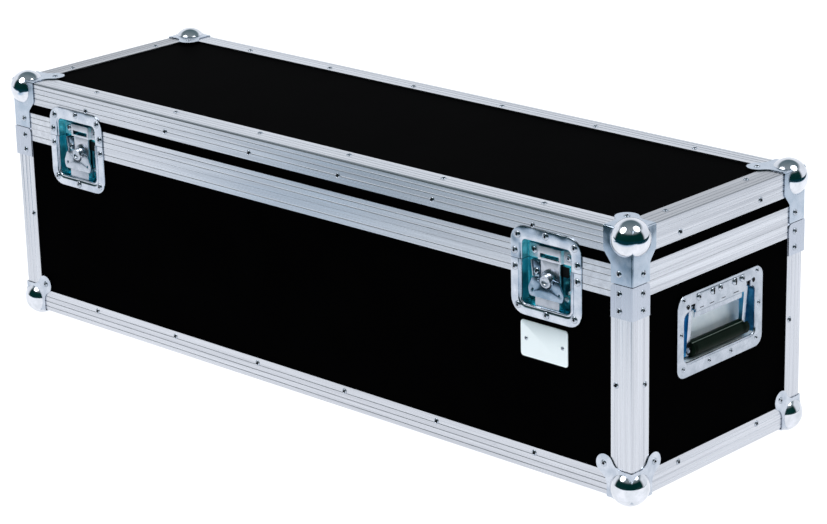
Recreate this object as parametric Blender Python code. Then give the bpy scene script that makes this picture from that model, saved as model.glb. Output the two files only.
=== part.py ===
"""Accessory trunk: a long flight case with a hinged lid, two butterfly latches and two sprung handles.

The case stands on its bottom ball corners. The origin is the middle of its footprint at floor level.
X runs along the case, Y from front to back, and Z up. All sizes are in metres.
"""
from math import atan2, cos, pi, radians, sin, sqrt

import bmesh
import bpy
from mathutils import Matrix, Vector

MM = 0.001

# Driving dimensions: the case
CASE_LENGTH = 1050 * MM
CASE_WIDTH = 320 * MM
CASE_HEIGHT = 320 * MM
LID_HEIGHT = 64 * MM
PANEL_THICKNESS = 7 * MM
FLOOR_THICKNESS = 9 * MM
SEAT_GAP = 0.3 * MM
SEAM_GAP = 0.3 * MM

# Driving dimensions: the aluminium profiles
EDGE_LEG = 30 * MM
EDGE_INNER_LEG = 24 * MM
LEG_WALL = 1.5 * MM
EDGE_RADIUS = 2.5 * MM
LID_CLOSING_HEIGHT = 21 * MM
BASE_CLOSING_HEIGHT = 17 * MM
CLOSING_INNER_LEG = 12 * MM
BASE_CLOSING_TOP = 2.5 * MM
LID_CLOSING_TOP = 6 * MM
TONGUE_HEIGHT = 3.5 * MM
TONGUE_WIDTH = 3.3 * MM
TONGUE_TAPER = 0.5 * MM
TONGUE_DEPTH = 4.1 * MM
TONGUE_CLEARANCE = 0.6 * MM
GROOVE_WIDTH = 1.4 * MM
GROOVE_DEPTH = 0.25 * MM
EDGE_GROOVES = [7 * MM, 14 * MM, 21 * MM]
BASE_CLOSING_GROOVES = [9.5 * MM]
LID_CLOSING_GROOVES = [7.5 * MM, 15 * MM]

# Driving dimensions: the ball corners and the corner braces
BALL_RADIUS = 23 * MM
BALL_INSET = 12.9 * MM
BALL_SEGMENTS = 20
SHEET = 1.2 * MM
BOTTOM_FLANGE_REACH = 36 * MM
BOTTOM_LOBE_CENTRE = 40.5 * MM
BOTTOM_LOBE_RADIUS = 12.5 * MM
LID_FLANGE_REACH = 40 * MM
LID_LOBE_CENTRE = 38 * MM
LID_LOBE_RADIUS = 14 * MM
LID_FLANGE_DROP = 27 * MM
FLANGE_FILLET = 14 * MM
BRACE_SHOULDER = 41 * MM
LID_BRACE_WIDTH = 29 * MM
BASE_BRACE_WIDTH = 29.5 * MM
BASE_BRACE_HEIGHT = 39 * MM
BASE_BRACE_RADIUS = 5 * MM
BRACE_SEAM_GAP = 0.5 * MM

# Driving dimensions: the latches, with depths measured inwards from the front of the case
LATCH_INSET = 123 * MM
LATCH_WIDTH = 104 * MM
LATCH_ABOVE_SEAM = 40 * MM
LATCH_BELOW_SEAM = 66 * MM
LATCH_CORNER = 19 * MM
DISH_HALF_WIDTH = 36 * MM
DISH_ABOVE_SEAM = 24 * MM
DISH_BELOW_SEAM = 53.5 * MM
DISH_CORNER = 6 * MM
DISH_DEPTH = 10.5 * MM
POST_DROP = 19 * MM
BRIDGE_HALF_WIDTH = 20.8 * MM
BRIDGE_FOOT = 30 * MM
BRIDGE_SLOPE = 2.2 * MM
BRIDGE_DEPTH = 3.4 * MM
BRIDGE_WALL = 1.8 * MM
BRIDGE_LOW = 2 * MM
BRIDGE_HIGH = 21.5 * MM
WINDOW_HALF_WIDTH = 14 * MM
WINDOW_LOW = 5 * MM
WINDOW_HIGH = 11 * MM
HOOK_DEPTH = 6.8 * MM
HOOK_WALL = 2 * MM
HOOK_HALF_WIDTH = 17.5 * MM
HOOK_TAIL_HALF_WIDTH = 15 * MM
HOOK_ABOVE_SEAM = 12 * MM
HOOK_BELOW_SEAM = 39.5 * MM
HOOK_CLEARANCE = 0.4 * MM
ECCENTRIC_RADIUS = 7.5 * MM
ECCENTRIC_THROW = 3.5 * MM
DRAW_DEVIATION = 0.22
COLLAR_RADIUS = 9 * MM
COLLAR_WALL = 2 * MM
POST_FOOT_RADIUS = 5 * MM
BOSS_RADIUS = 6.5 * MM
BOSS_PROUD = 3.5 * MM
WING_PROUD = 1.5 * MM
WING_WALL = 1.8 * MM
WING_PIN_RADIUS = 1.3 * MM
WING_PIN_CLEARANCE = 0.3 * MM
WING_KNUCKLE_RADIUS = 2.6 * MM
WING_EAR_WIDTH = 3.2 * MM
WING_EAR_TOP = 3 * MM
WING_HALF_WIDTH = 27 * MM
WING_TIP_HALF_WIDTH = 24.5 * MM
WING_SHOULDER = 14.5 * MM
WING_REACH = 21.5 * MM
WING_CORNER = 3 * MM
WING_NOTCH = 8 * MM
WING_HOLE_RADIUS = 1.5 * MM
WING_HOLE_X = 19 * MM
REST_HALF_WIDTH = 17.5 * MM
REST_HEIGHT = 11 * MM
REST_DEPTH = 0.9 * MM
REST_SLOPE = 2.5 * MM

# Driving dimensions: the handles, with depths measured inwards from the end of the case
HANDLE_HEIGHT = 172 * MM
HANDLE_WIDTH = 160 * MM
HANDLE_TALL = 99 * MM
HANDLE_CORNER = 13 * MM
HANDLE_DISH_HALF_WIDTH = 67 * MM
HANDLE_DISH_LOW = 32.5 * MM
HANDLE_DISH_HIGH = 37 * MM
HANDLE_MOUTH_HIGH = 27 * MM
HANDLE_DISH_CORNER = 8 * MM
HANDLE_DISH_DEPTH = 16.5 * MM
BRACKET_HALF_WIDTH = 46.5 * MM
BRACKET_HIGH = 46 * MM
BRACKET_OVERHANG = 1.5 * MM
BRACKET_WALL = 1.1 * MM
BAIL_PIVOT_HEIGHT = 31.5 * MM
BAIL_PIVOT_DEPTH = 3.5 * MM
BAIL_ROD_RADIUS = 2.8 * MM
BAIL_EYE_RADIUS = 3.6 * MM
BAIL_FOOT_RADIUS = 4.5 * MM
BAIL_ARM_INNER = 48.7 * MM
BAIL_ARM_WIDTH = 7 * MM
ARM_SLOT_CLEARANCE = 1.5 * MM
GRIP_DROP = 50.5 * MM
GRIP_DEPTH = 6 * MM
GRIP_RADIUS = 9.5 * MM
GRIP_CORE_RADIUS = 4 * MM
GRIP_LAP = 5.2 * MM
GRIP_CHAMFER = 1.2 * MM

# Driving dimensions: the back hinges
HINGE_INSET = 185 * MM
HINGE_OFFSET = 5.2 * MM
HINGE_WIDTH = 60 * MM
HINGE_LEAF_WALL = 1.5 * MM
HINGE_BASE_LEAF = 38 * MM
HINGE_LID_LEAF = 32 * MM
HINGE_LEAF_START = 5 * MM
HINGE_STOP_START = 3.2 * MM
HINGE_LEAF_CORNER = 6 * MM
KNUCKLE_RADIUS = 4.3 * MM
KNUCKLE_GAP = 0.4 * MM
HINGE_PIN_RADIUS = 2 * MM
HINGE_PIN_CLEARANCE = 0.3 * MM
STOP_PROUD = 4.65 * MM
STOP_HIGH = 0.8 * MM
STOP_LOW = 2.3 * MM

# Values that follow from the driving dimensions
HALF_LENGTH = CASE_LENGTH / 2
HALF_WIDTH = CASE_WIDTH / 2
BALL_PROUD = BALL_RADIUS - BALL_INSET
FRAME_BOTTOM = BALL_PROUD
FRAME_TOP = FRAME_BOTTOM + CASE_HEIGHT
SEAM = FRAME_TOP - LID_HEIGHT
PANEL_OUTER = LEG_WALL + SEAT_GAP
PANEL_INNER = PANEL_OUTER + PANEL_THICKNESS
SLOT_INNER = PANEL_INNER + SEAT_GAP
PROFILE_DEPTH = SLOT_INNER + LEG_WALL
PANEL_EDGE = PROFILE_DEPTH + SEAT_GAP
SHEET_OUTER = SEAT_GAP + SHEET
DISH_BLOCK_HALF_WIDTH = DISH_HALF_WIDTH + SHEET
LATCH_X = HALF_LENGTH - LATCH_INSET
CUT_HALF_WIDTH = DISH_BLOCK_HALF_WIDTH + SEAT_GAP
WING_PIN_DEPTH = WING_WALL / 2 - WING_PROUD
HINGE_X = HALF_LENGTH - HINGE_INSET
ROUND = 4
EMBED = 0.4 * MM
AXIS_MARK = 20 * MM

LATCH_SIDES = {"left": -1, "right": 1}
ENDS = {"left": -1, "right": 1}
CORNERS = {"fl": (-1, -1), "fr": (1, -1), "bl": (-1, 1), "br": (1, 1)}


# Scene and materials

def clear_scene():
    """Remove every object, so that the model is alone in the file."""
    for item in list(bpy.data.objects):
        bpy.data.objects.remove(item, do_unlink=True)


def make_material(name, colour, metallic, roughness):
    """Make a Principled material of one colour."""
    material = bpy.data.materials.new(name)
    material.use_nodes = True
    shader = material.node_tree.nodes["Principled BSDF"]
    shader.inputs["Base Color"].default_value = (*colour, 1)
    shader.inputs["Metallic"].default_value = metallic
    shader.inputs["Roughness"].default_value = roughness
    return material


def make_materials():
    """Make the finishes of the case, by name."""
    return {
        "panel": make_material("black_laminate", (0.012, 0.012, 0.013), 0.0, 0.4),
        "profile": make_material("mill_aluminium", (0.80, 0.81, 0.83), 1.0, 0.35),
        "zinc": make_material("bright_zinc_steel", (0.72, 0.77, 0.80), 1.0, 0.2),
        "plated": make_material("plated_steel", (0.75, 0.77, 0.79), 1.0, 0.3),
        "rubber": make_material("black_rubber", (0.015, 0.015, 0.015), 0.0, 0.6),
    }


# Modelling helpers

def place_empty(name, location, parent=None, turn=0.0):
    """Place an empty that carries a sub-assembly or marks a joint's axis."""
    empty = bpy.data.objects.new(name, None)
    bpy.context.collection.objects.link(empty)
    empty.location = location
    empty.rotation_euler = (0, 0, turn)
    empty.empty_display_size = AXIS_MARK
    empty.parent = parent
    return empty


def new_object(name, bm):
    """Turn a bmesh into an object with outward faces."""
    bmesh.ops.recalc_face_normals(bm, faces=bm.faces[:])
    mesh = bpy.data.meshes.new(name)
    bm.to_mesh(mesh)
    bm.free()
    item = bpy.data.objects.new(name, mesh)
    bpy.context.collection.objects.link(item)
    return item


def finish(item, material, parent=None, about=None):
    """Give a piece its material, its shading and the empty that carries it.

    about is the empty's place in the piece's own coordinates, where that isn't its origin.
    """
    item.data.materials.clear()
    item.data.materials.append(material)
    item.data.shade_smooth()
    item.data.set_sharp_from_angle(angle=radians(32))
    if parent:
        item.parent = parent
    if about:
        item.data.transform(Matrix.Translation(-Vector(about)))
    return item


def combine(body, tools, operation):
    """Join tools to a body, or cut them from it, and remove them."""
    for tool in tools:
        modifier = body.modifiers.new("combine", "BOOLEAN")
        modifier.operation = operation
        modifier.solver = "EXACT"
        modifier.object = tool
        bpy.context.view_layer.update()
        evaluated = body.evaluated_get(bpy.context.evaluated_depsgraph_get())
        result = bpy.data.meshes.new_from_object(evaluated)
        body.modifiers.clear()
        body.data = result
        bpy.data.objects.remove(tool, do_unlink=True)
    return body


def join(body, *tools):
    """Join solids to a body."""
    return combine(body, tools, "UNION")


def cut(body, *tools):
    """Cut solids out of a body."""
    return combine(body, tools, "DIFFERENCE")


def rounded(corners):
    """Round an outline's corners, each given as two coordinates and a radius."""
    points = []
    count = len(corners)
    for index, (a, b, radius) in enumerate(corners):
        corner = Vector((a, b))
        if radius == 0:
            points.append(tuple(corner))
            continue
        before = (Vector(corners[index - 1][:2]) - corner).normalized()
        after = (Vector(corners[(index + 1) % count][:2]) - corner).normalized()
        half_angle = before.angle(after) / 2
        centre = corner + (before + after).normalized() * radius / sin(half_angle)
        start = corner + before * radius / (sin(half_angle) / cos(half_angle)) - centre
        end = corner + after * radius / (sin(half_angle) / cos(half_angle)) - centre
        sweep = start.angle_signed(end)
        for step in range(ROUND + 1):
            spoke = start.copy()
            spoke.rotate(Matrix.Rotation(-sweep * step / ROUND, 2))
            points.append(tuple(centre + spoke))
    return points


def arc(centre, radius, start, end, steps=ROUND):
    """Give the points of an arc from one angle to another."""
    points = []
    for step in range(steps + 1):
        angle = start + (end - start) * step / steps
        points.append((centre[0] + radius * cos(angle), centre[1] + radius * sin(angle)))
    return points


def rectangle(low_a, high_a, low_b, high_b, low_radius=0.0, high_radius=0.0):
    """Give a rectangle's outline, with one radius on its low corners and one on its high ones."""
    return rounded([(low_a, low_b, low_radius), (high_a, low_b, low_radius),
                    (high_a, high_b, high_radius), (low_a, high_b, high_radius)])


def prism(outline, low, high, plane="XY"):
    """Extrude an outline in the named plane, from one level to another across it."""
    across = "XYZ".replace(plane[0], "").replace(plane[1], "")

    def place(a, b, level):
        spot = {plane[0]: a, plane[1]: b, across: level}
        return Vector((spot["X"], spot["Y"], spot["Z"]))

    bm = bmesh.new()
    face = bm.faces.new([bm.verts.new(place(a, b, low)) for a, b in outline])
    lifted = bmesh.ops.extrude_face_region(bm, geom=[face])["geom"]
    top = [item for item in lifted if isinstance(item, bmesh.types.BMVert)]
    bmesh.ops.translate(bm, verts=top, vec=place(0, 0, high - low))
    return new_object("prism", bm)


def block(x, y, z):
    """Make a box from a low and a high value on each axis."""
    return prism(rectangle(*x, *y), *z)


def cylinder(radius, low, high, axis="Z", centre=(0, 0), segments=20):
    """Make a cylinder along an axis, with its centre in the other two coordinates."""
    bm = bmesh.new()
    bmesh.ops.create_cone(bm, cap_ends=True, segments=segments, radius1=radius, radius2=radius,
                          depth=high - low)
    turn = {"X": Matrix.Rotation(pi / 2, 4, "Y"), "Y": Matrix.Rotation(-pi / 2, 4, "X"),
            "Z": Matrix.Identity(4)}[axis]
    middle = (low + high) / 2
    spot = {"X": (middle, *centre), "Y": (centre[0], middle, centre[1]), "Z": (*centre, middle)}[axis]
    bmesh.ops.transform(bm, matrix=Matrix.Translation(spot) @ turn, verts=bm.verts)
    return new_object("cylinder", bm)


def rail(outline, stations):
    """Sweep a section past stations along a level path.

    The section holds depths and heights. Each station is a point of the path on the outer face, and
    the way that one unit of depth runs there: square to the rail, or along a corner's mitre.
    """
    bm = bmesh.new()

    def place(depth, height, station):
        point, inward = station
        return Vector((point[0] + depth * inward[0], point[1] + depth * inward[1], height))

    cap = bm.faces.new([bm.verts.new(place(depth, height, stations[0])) for depth, height in outline])
    face = cap
    for before, after in zip(stations, stations[1:]):
        grown = bmesh.ops.extrude_face_region(bm, geom=[face])["geom"]
        if face is not cap:
            bmesh.ops.delete(bm, geom=[face], context="FACES_ONLY")
        face = next(item for item in grown if isinstance(item, bmesh.types.BMFace))
        (start_x, start_y), inward = before
        length_squared = inward[0] ** 2 + inward[1] ** 2
        for vertex in face.verts:
            depth = ((vertex.co.x - start_x) * inward[0] + (vertex.co.y - start_y) * inward[1])
            vertex.co = place(depth / length_squared, vertex.co.z, after)
    return new_object("rail", bm)


def mirrored(item, name, signs):
    """Copy a corner piece into the corner that the signs of X, Y and Z name."""
    mesh = item.data.copy()
    mesh.transform(Matrix.Diagonal((*signs, 1)))
    if signs[0] * signs[1] * signs[2] < 0:
        mesh.flip_normals()
    copy = bpy.data.objects.new(name, mesh)
    bpy.context.collection.objects.link(copy)
    return copy


# Sections of the profiles, as a depth from the outer face and a distance from the profile's edge

def grooves(positions):
    """Give the points of fine lengthwise grooves in a face, as distances along it and depths."""
    points = []
    for position in positions:
        points += [(position - GROOVE_WIDTH / 2, 0.0), (position, GROOVE_DEPTH),
                   (position + GROOVE_WIDTH / 2, 0.0)]
    return points


def double_angle(leg=EDGE_LEG, inner_leg=EDGE_INNER_LEG, proud=0.0, grooved=True):
    """Section of the edge profile: two outer legs, a corner web and two inner legs round the panels."""
    face = grooves(EDGE_GROOVES) if grooved else []
    radius = EDGE_RADIUS
    turn = radius * (1 - 1 / sqrt(2))
    first = [(radius, 0.0)] + face + [(leg, 0.0)]
    half = [(a, b - proud if b == 0 else b) for a, b in first]
    half += [(leg, LEG_WALL), (PROFILE_DEPTH, LEG_WALL), (PROFILE_DEPTH, SLOT_INNER),
             (inner_leg, SLOT_INNER), (inner_leg, PROFILE_DEPTH)]
    other = [(b, a) for a, b in reversed(half)]
    return [(turn - proud, turn - proud)] + half + [(PROFILE_DEPTH, PROFILE_DEPTH)] + other


def base_closing_section():
    """Section of the base's closing profile: depths, and distances down from the seam."""
    tongue_end = TONGUE_DEPTH + TONGUE_WIDTH
    outer = [(depth, drop) for drop, depth in grooves(BASE_CLOSING_GROOVES)]
    return [(0.0, 0.0)] + outer + [
        (0.0, BASE_CLOSING_HEIGHT), (LEG_WALL, BASE_CLOSING_HEIGHT), (LEG_WALL, BASE_CLOSING_TOP),
        (SLOT_INNER, BASE_CLOSING_TOP), (SLOT_INNER, CLOSING_INNER_LEG),
        (PROFILE_DEPTH, CLOSING_INNER_LEG), (PROFILE_DEPTH, 0.0),
        (tongue_end, 0.0), (tongue_end - TONGUE_TAPER, -TONGUE_HEIGHT),
        (TONGUE_DEPTH + TONGUE_TAPER, -TONGUE_HEIGHT), (TONGUE_DEPTH, 0.0)]


def lid_closing_section():
    """Section of the lid's closing profile: depths, and distances up from the seam."""
    groove_start = TONGUE_DEPTH - TONGUE_CLEARANCE
    groove_end = TONGUE_DEPTH + TONGUE_WIDTH + TONGUE_CLEARANCE
    groove_top = TONGUE_HEIGHT + TONGUE_CLEARANCE
    outer = [(depth, rise + SEAM_GAP) for rise, depth in grooves(LID_CLOSING_GROOVES)]
    return [(0.0, SEAM_GAP)] + outer + [
        (0.0, LID_CLOSING_HEIGHT), (LEG_WALL, LID_CLOSING_HEIGHT), (LEG_WALL, LID_CLOSING_TOP),
        (SLOT_INNER, LID_CLOSING_TOP), (SLOT_INNER, CLOSING_INNER_LEG),
        (PROFILE_DEPTH, CLOSING_INNER_LEG), (PROFILE_DEPTH, SEAM_GAP),
        (groove_end, SEAM_GAP), (groove_end - TONGUE_TAPER, groove_top),
        (groove_start + TONGUE_TAPER, groove_top), (groove_start, SEAM_GAP)]


# Profiles that run round the case

def mitred_sides():
    """Stations of four rails that meet in mitres at the case's corners."""
    x, y = HALF_LENGTH, HALF_WIDTH
    return {"front": [((-x, -y), (1, 1)), ((x, -y), (-1, 1))],
            "back": [((x, y), (-1, -1)), ((-x, y), (1, -1))],
            "left": [((-x, y), (1, -1)), ((-x, -y), (1, 1))],
            "right": [((x, -y), (-1, 1)), ((x, y), (-1, -1))]}


def closing_sides():
    """Stations of the closing rails: the front one runs between the latches, whose dishes cut it.

    The short pieces beyond the latches are one with the rails of the ends.
    """
    x, y = HALF_LENGTH, HALF_WIDTH
    inner = LATCH_X - CUT_HALF_WIDTH
    outer = LATCH_X + CUT_HALF_WIDTH
    sides = mitred_sides()
    sides["front"] = [((-inner, -y), (0, 1)), ((inner, -y), (0, 1))]
    sides["left"] = [((-x, y), (1, -1)), ((-x, -y), (1, 1)), ((-outer, -y), (0, 1))]
    sides["right"] = [((outer, -y), (0, 1)), ((x, -y), (-1, 1)), ((x, y), (-1, -1))]
    return sides


def build_rails(materials, lid):
    """Make the edge and closing profiles of the base and the lid."""
    bottom = [(depth, FRAME_BOTTOM + rise) for depth, rise in double_angle()]
    top = [(depth, FRAME_TOP - drop) for depth, drop in double_angle()]
    base_closing = [(depth, SEAM - drop) for depth, drop in base_closing_section()]
    lid_closing = [(depth, SEAM + rise) for depth, rise in lid_closing_section()]
    for prefix, section, sides, parent in (
            ("bottom_edge", bottom, mitred_sides(), None),
            ("base_closing", base_closing, closing_sides(), None),
            ("lid_edge", top, mitred_sides(), lid),
            ("lid_closing", lid_closing, closing_sides(), lid)):
        for side, stations in sides.items():
            piece = rail(section, stations)
            piece.name = f"{prefix}_{side}"
            finish(piece, materials["profile"], parent, lid.location if parent else None)


# Corner pieces, modelled in a corner whose inside is positive on X, Y and Z, and mirrored into place

def corner_post():
    """Upright edge profile of the base, with the riveted brace round its top end."""
    low = EDGE_LEG + SEAT_GAP
    high = SEAM - FRAME_BOTTOM - BASE_CLOSING_HEIGHT - SEAT_GAP
    post = prism(double_angle(), low, high)
    top = SEAM - FRAME_BOTTOM - BRACE_SEAM_GAP
    bottom = top - BASE_BRACE_HEIGHT
    sheet = rounded([(-SHEET_OUTER, bottom, 0), (BASE_BRACE_WIDTH, bottom, 0),
                     (BASE_BRACE_WIDTH, top, BASE_BRACE_RADIUS), (-SHEET_OUTER, top, 0)])
    brace = join(prism(sheet, -SHEET_OUTER, EMBED, "XZ"), prism(sheet, -SHEET_OUTER, EMBED, "YZ"))
    clear = (-SEAT_GAP, EDGE_LEG * 2)
    cut(brace, block(clear, clear, (high, top + EDGE_LEG)))
    return join(post, brace)


def lobed_flange(reach, centre, radius):
    """Outline of a ball corner's flange on one face: a round lobe between two hollow fillets."""
    corner = -SHEET_OUTER
    across = reach + FLANGE_FILLET - centre
    along = sqrt((FLANGE_FILLET + radius) ** 2 - across ** 2)
    lean = atan2(-along, across)
    half = [(reach, corner)]
    half += arc((reach + FLANGE_FILLET, centre - along), FLANGE_FILLET, pi, pi + lean)[:-1]
    half += arc((centre, centre), radius, lean, pi / 4)
    return [(corner, corner)] + half + [(b, a) for a, b in reversed(half[:-1])]


def ball():
    """The ball of a corner, centred a little inside all three faces."""
    bm = bmesh.new()
    bmesh.ops.create_uvsphere(bm, u_segments=BALL_SEGMENTS, v_segments=BALL_SEGMENTS // 2,
                              radius=BALL_RADIUS)
    bmesh.ops.translate(bm, verts=bm.verts, vec=(BALL_INSET, BALL_INSET, BALL_INSET))
    return new_object("ball", bm)


def trim_inside(corner):
    """Cut away what would lie inside the case's faces, so the piece seats on the profiles."""
    far = BALL_RADIUS * 6
    span = (-SEAT_GAP, far)
    return cut(corner, block(span, span, span))


def bottom_corner():
    """Ball corner of the base: the ball and three lobed flanges."""
    outline = lobed_flange(BOTTOM_FLANGE_REACH, BOTTOM_LOBE_CENTRE, BOTTOM_LOBE_RADIUS)
    flanges = [prism(outline, -SHEET_OUTER, EMBED, plane) for plane in ("XY", "YZ", "XZ")]
    return trim_inside(join(ball(), *flanges))


def lid_corner():
    """Ball corner of the lid: the ball, a lobed flange on top, and a brace leg down to the seam."""
    bottom = LID_HEIGHT - BRACE_SEAM_GAP
    edge = -SHEET_OUTER
    side = [(edge, edge), (LID_FLANGE_REACH, edge), (LID_FLANGE_REACH, LID_FLANGE_DROP),
            (LID_BRACE_WIDTH, BRACE_SHOULDER), (LID_BRACE_WIDTH, bottom), (edge, bottom)]
    top = lobed_flange(LID_FLANGE_REACH, LID_LOBE_CENTRE, LID_LOBE_RADIUS)
    flanges = [prism(top, edge, EMBED), prism(side, edge, EMBED, "XZ"), prism(side, edge, EMBED, "YZ")]
    corner = trim_inside(join(ball(), *flanges))
    low = EDGE_LEG + SEAT_GAP
    high = LID_HEIGHT - LID_CLOSING_HEIGHT - SEAT_GAP
    section = double_angle(LID_BRACE_WIDTH - EMBED, EDGE_INNER_LEG, EMBED + SEAT_GAP, grooved=False)
    return join(corner, prism(section, low, high))


def build_corners(materials, lid):
    """Mirror one of each corner piece into the four corners."""
    post = corner_post()
    bottom = bottom_corner()
    top = lid_corner()
    for corner, (x, y) in CORNERS.items():
        signs = (-x, -y)
        base_place = Matrix.Translation((x * HALF_LENGTH, y * HALF_WIDTH, FRAME_BOTTOM))
        lid_place = Matrix.Translation((x * HALF_LENGTH, y * HALF_WIDTH, FRAME_TOP))
        for prefix, source, up, place, parent in (
                ("corner_post", post, 1, base_place, None),
                ("bottom_ball", bottom, 1, base_place, None),
                ("lid_ball", top, -1, lid_place, lid)):
            piece = mirrored(source, f"{prefix}_{corner}", (*signs, up))
            piece.data.transform(place)
            finish(piece, materials["profile" if source is post else "zinc"], parent,
                   lid.location if parent else None)
    for source in (post, bottom, top):
        bpy.data.objects.remove(source, do_unlink=True)


# Panels

def notched_front(low, high, notch_low, notch_high):
    """Front panel with a notch for each latch dish, between two heights."""
    half = HALF_LENGTH - PANEL_EDGE
    panel = prism(rectangle(-half, half, low, high), PANEL_OUTER - HALF_WIDTH,
                  PANEL_INNER - HALF_WIDTH, "XZ")
    for side in LATCH_SIDES.values():
        middle = side * LATCH_X
        cut(panel, block((middle - CUT_HALF_WIDTH, middle + CUT_HALF_WIDTH),
                         (-HALF_WIDTH, PROFILE_DEPTH * 2 - HALF_WIDTH), (notch_low, notch_high)))
    return panel


def floor_panel():
    """Bottom panel, thicker than the others, with its edge rebated to fit the profiles' slots."""
    length = HALF_LENGTH - PANEL_EDGE
    width = HALF_WIDTH - PANEL_EDGE
    outer = FRAME_BOTTOM + PANEL_OUTER
    panel = prism(rectangle(-length, length, -width, width), outer, outer + FLOOR_THICKNESS)
    shoulder = EDGE_INNER_LEG + SEAT_GAP
    rebate = (outer + PANEL_THICKNESS, outer + 2 * FLOOR_THICKNESS)
    far = (-CASE_LENGTH, CASE_LENGTH)
    for side in (-1, 1):
        across = sorted((side * (HALF_WIDTH - shoulder), side * CASE_WIDTH))
        along = sorted((side * (HALF_LENGTH - shoulder), side * CASE_LENGTH))
        cut(panel, block(far, across, rebate), block(along, far, rebate))
    return panel


def side_plate(axis, sign, low, high):
    """Plain panel of the back or an end, between two heights."""
    half = (HALF_LENGTH if axis == "Y" else HALF_WIDTH) - PANEL_EDGE
    face = HALF_WIDTH if axis == "Y" else HALF_LENGTH
    levels = sorted((sign * (face - PANEL_OUTER), sign * (face - PANEL_INNER)))
    return prism(rectangle(-half, half, low, high), *levels, "XZ" if axis == "Y" else "YZ")


def build_panels(materials, lid):
    """Make the plywood panels, which sit in the slots of the profiles."""
    length = HALF_LENGTH - PANEL_EDGE
    width = HALF_WIDTH - PANEL_EDGE
    level = rectangle(-length, length, -width, width)
    base_low = FRAME_BOTTOM + PANEL_EDGE
    base_high = SEAM - BASE_CLOSING_TOP - SEAT_GAP
    lid_low = SEAM + LID_CLOSING_TOP + SEAT_GAP
    lid_high = FRAME_TOP - PANEL_EDGE
    dish_bottom = SEAM - DISH_BELOW_SEAM - SHEET - SEAT_GAP
    dish_top = SEAM + DISH_ABOVE_SEAM + SHEET + SEAT_GAP
    base = {
        "base_bottom_panel": floor_panel(),
        "base_front_panel": notched_front(base_low, base_high, dish_bottom, SEAM),
        "base_back_panel": side_plate("Y", 1, base_low, base_high),
        "base_left_panel": side_plate("X", -1, base_low, base_high),
        "base_right_panel": side_plate("X", 1, base_low, base_high),
    }
    top = {
        "lid_top_panel": prism(level, FRAME_TOP - PANEL_INNER, FRAME_TOP - PANEL_OUTER),
        "lid_front_panel": notched_front(lid_low, lid_high, SEAM, dish_top),
        "lid_back_panel": side_plate("Y", 1, lid_low, lid_high),
        "lid_left_panel": side_plate("X", -1, lid_low, lid_high),
        "lid_right_panel": side_plate("X", 1, lid_low, lid_high),
    }
    middle = FRAME_BOTTOM + HANDLE_HEIGHT
    half = HANDLE_DISH_HALF_WIDTH + SHEET + SEAT_GAP
    for end, sign in ENDS.items():
        hole = rectangle(-half, half, middle - HANDLE_DISH_LOW - SHEET - SEAT_GAP,
                         middle + HANDLE_DISH_HIGH + SHEET + SEAT_GAP)
        levels = sorted((sign * HALF_LENGTH, sign * (HALF_LENGTH - PROFILE_DEPTH * 2)))
        cut(base[f"base_{end}_panel"], prism(hole, *levels, "YZ"))
    for name, panel in base.items():
        panel.name = name
        finish(panel, materials["panel"])
    for name, panel in top.items():
        panel.name = name
        finish(panel, materials["panel"], lid, lid.location)


# Latch, modelled about the post's axis: X to the right, Y into the case from its front, and Z up

def dish_half(outer_low, outer_high, inner_low, inner_high, low_corner, high_corner, open_low):
    """One half of the latch dish: a flange on the case's face round a tray that opens at the seam.

    outer_ and inner_ give the heights of the flange and of the tray's inside. Corners away from the
    seam are round, as low_corner and high_corner (flange radius, tray radius) say.
    """
    half = LATCH_WIDTH / 2
    flange = prism(rectangle(-half, half, outer_low, outer_high, low_corner[0], high_corner[0]),
                   -SHEET_OUTER, -SEAT_GAP, "XZ")
    tray_low = inner_low - (0 if open_low else SHEET)
    tray_high = inner_high + (SHEET if open_low else 0)
    low_round = low_corner[1] + SHEET if low_corner[1] else 0
    high_round = high_corner[1] + SHEET if high_corner[1] else 0
    tray = prism(rectangle(-DISH_BLOCK_HALF_WIDTH, DISH_BLOCK_HALF_WIDTH, tray_low, tray_high,
                           low_round, high_round), -SEAT_GAP - EMBED, DISH_DEPTH + SHEET, "XZ")
    hollow_low = inner_low - (EDGE_LEG if open_low else 0)
    hollow_high = inner_high + (0 if open_low else EDGE_LEG)
    hollow = prism(rectangle(-DISH_HALF_WIDTH, DISH_HALF_WIDTH, hollow_low, hollow_high,
                             low_corner[1], high_corner[1]), -EDGE_LEG, DISH_DEPTH, "XZ")
    return cut(join(flange, tray), hollow)


def base_dish():
    """Lower half of the dish, with the raised rest under the wing's tip."""
    top = POST_DROP - SEAM_GAP
    bottom = POST_DROP - DISH_BELOW_SEAM
    dish = dish_half(POST_DROP - LATCH_BELOW_SEAM, top, bottom, top,
                     (LATCH_CORNER, DISH_CORNER), (0, 0), open_low=False)
    rest = [(DISH_DEPTH + EMBED, bottom + REST_HEIGHT + REST_SLOPE), (REST_DEPTH, bottom + REST_HEIGHT),
            (REST_DEPTH, bottom - EMBED), (DISH_DEPTH + EMBED, bottom - EMBED)]
    return join(dish, prism(rest, -REST_HALF_WIDTH, REST_HALF_WIDTH, "YZ"))


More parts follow.
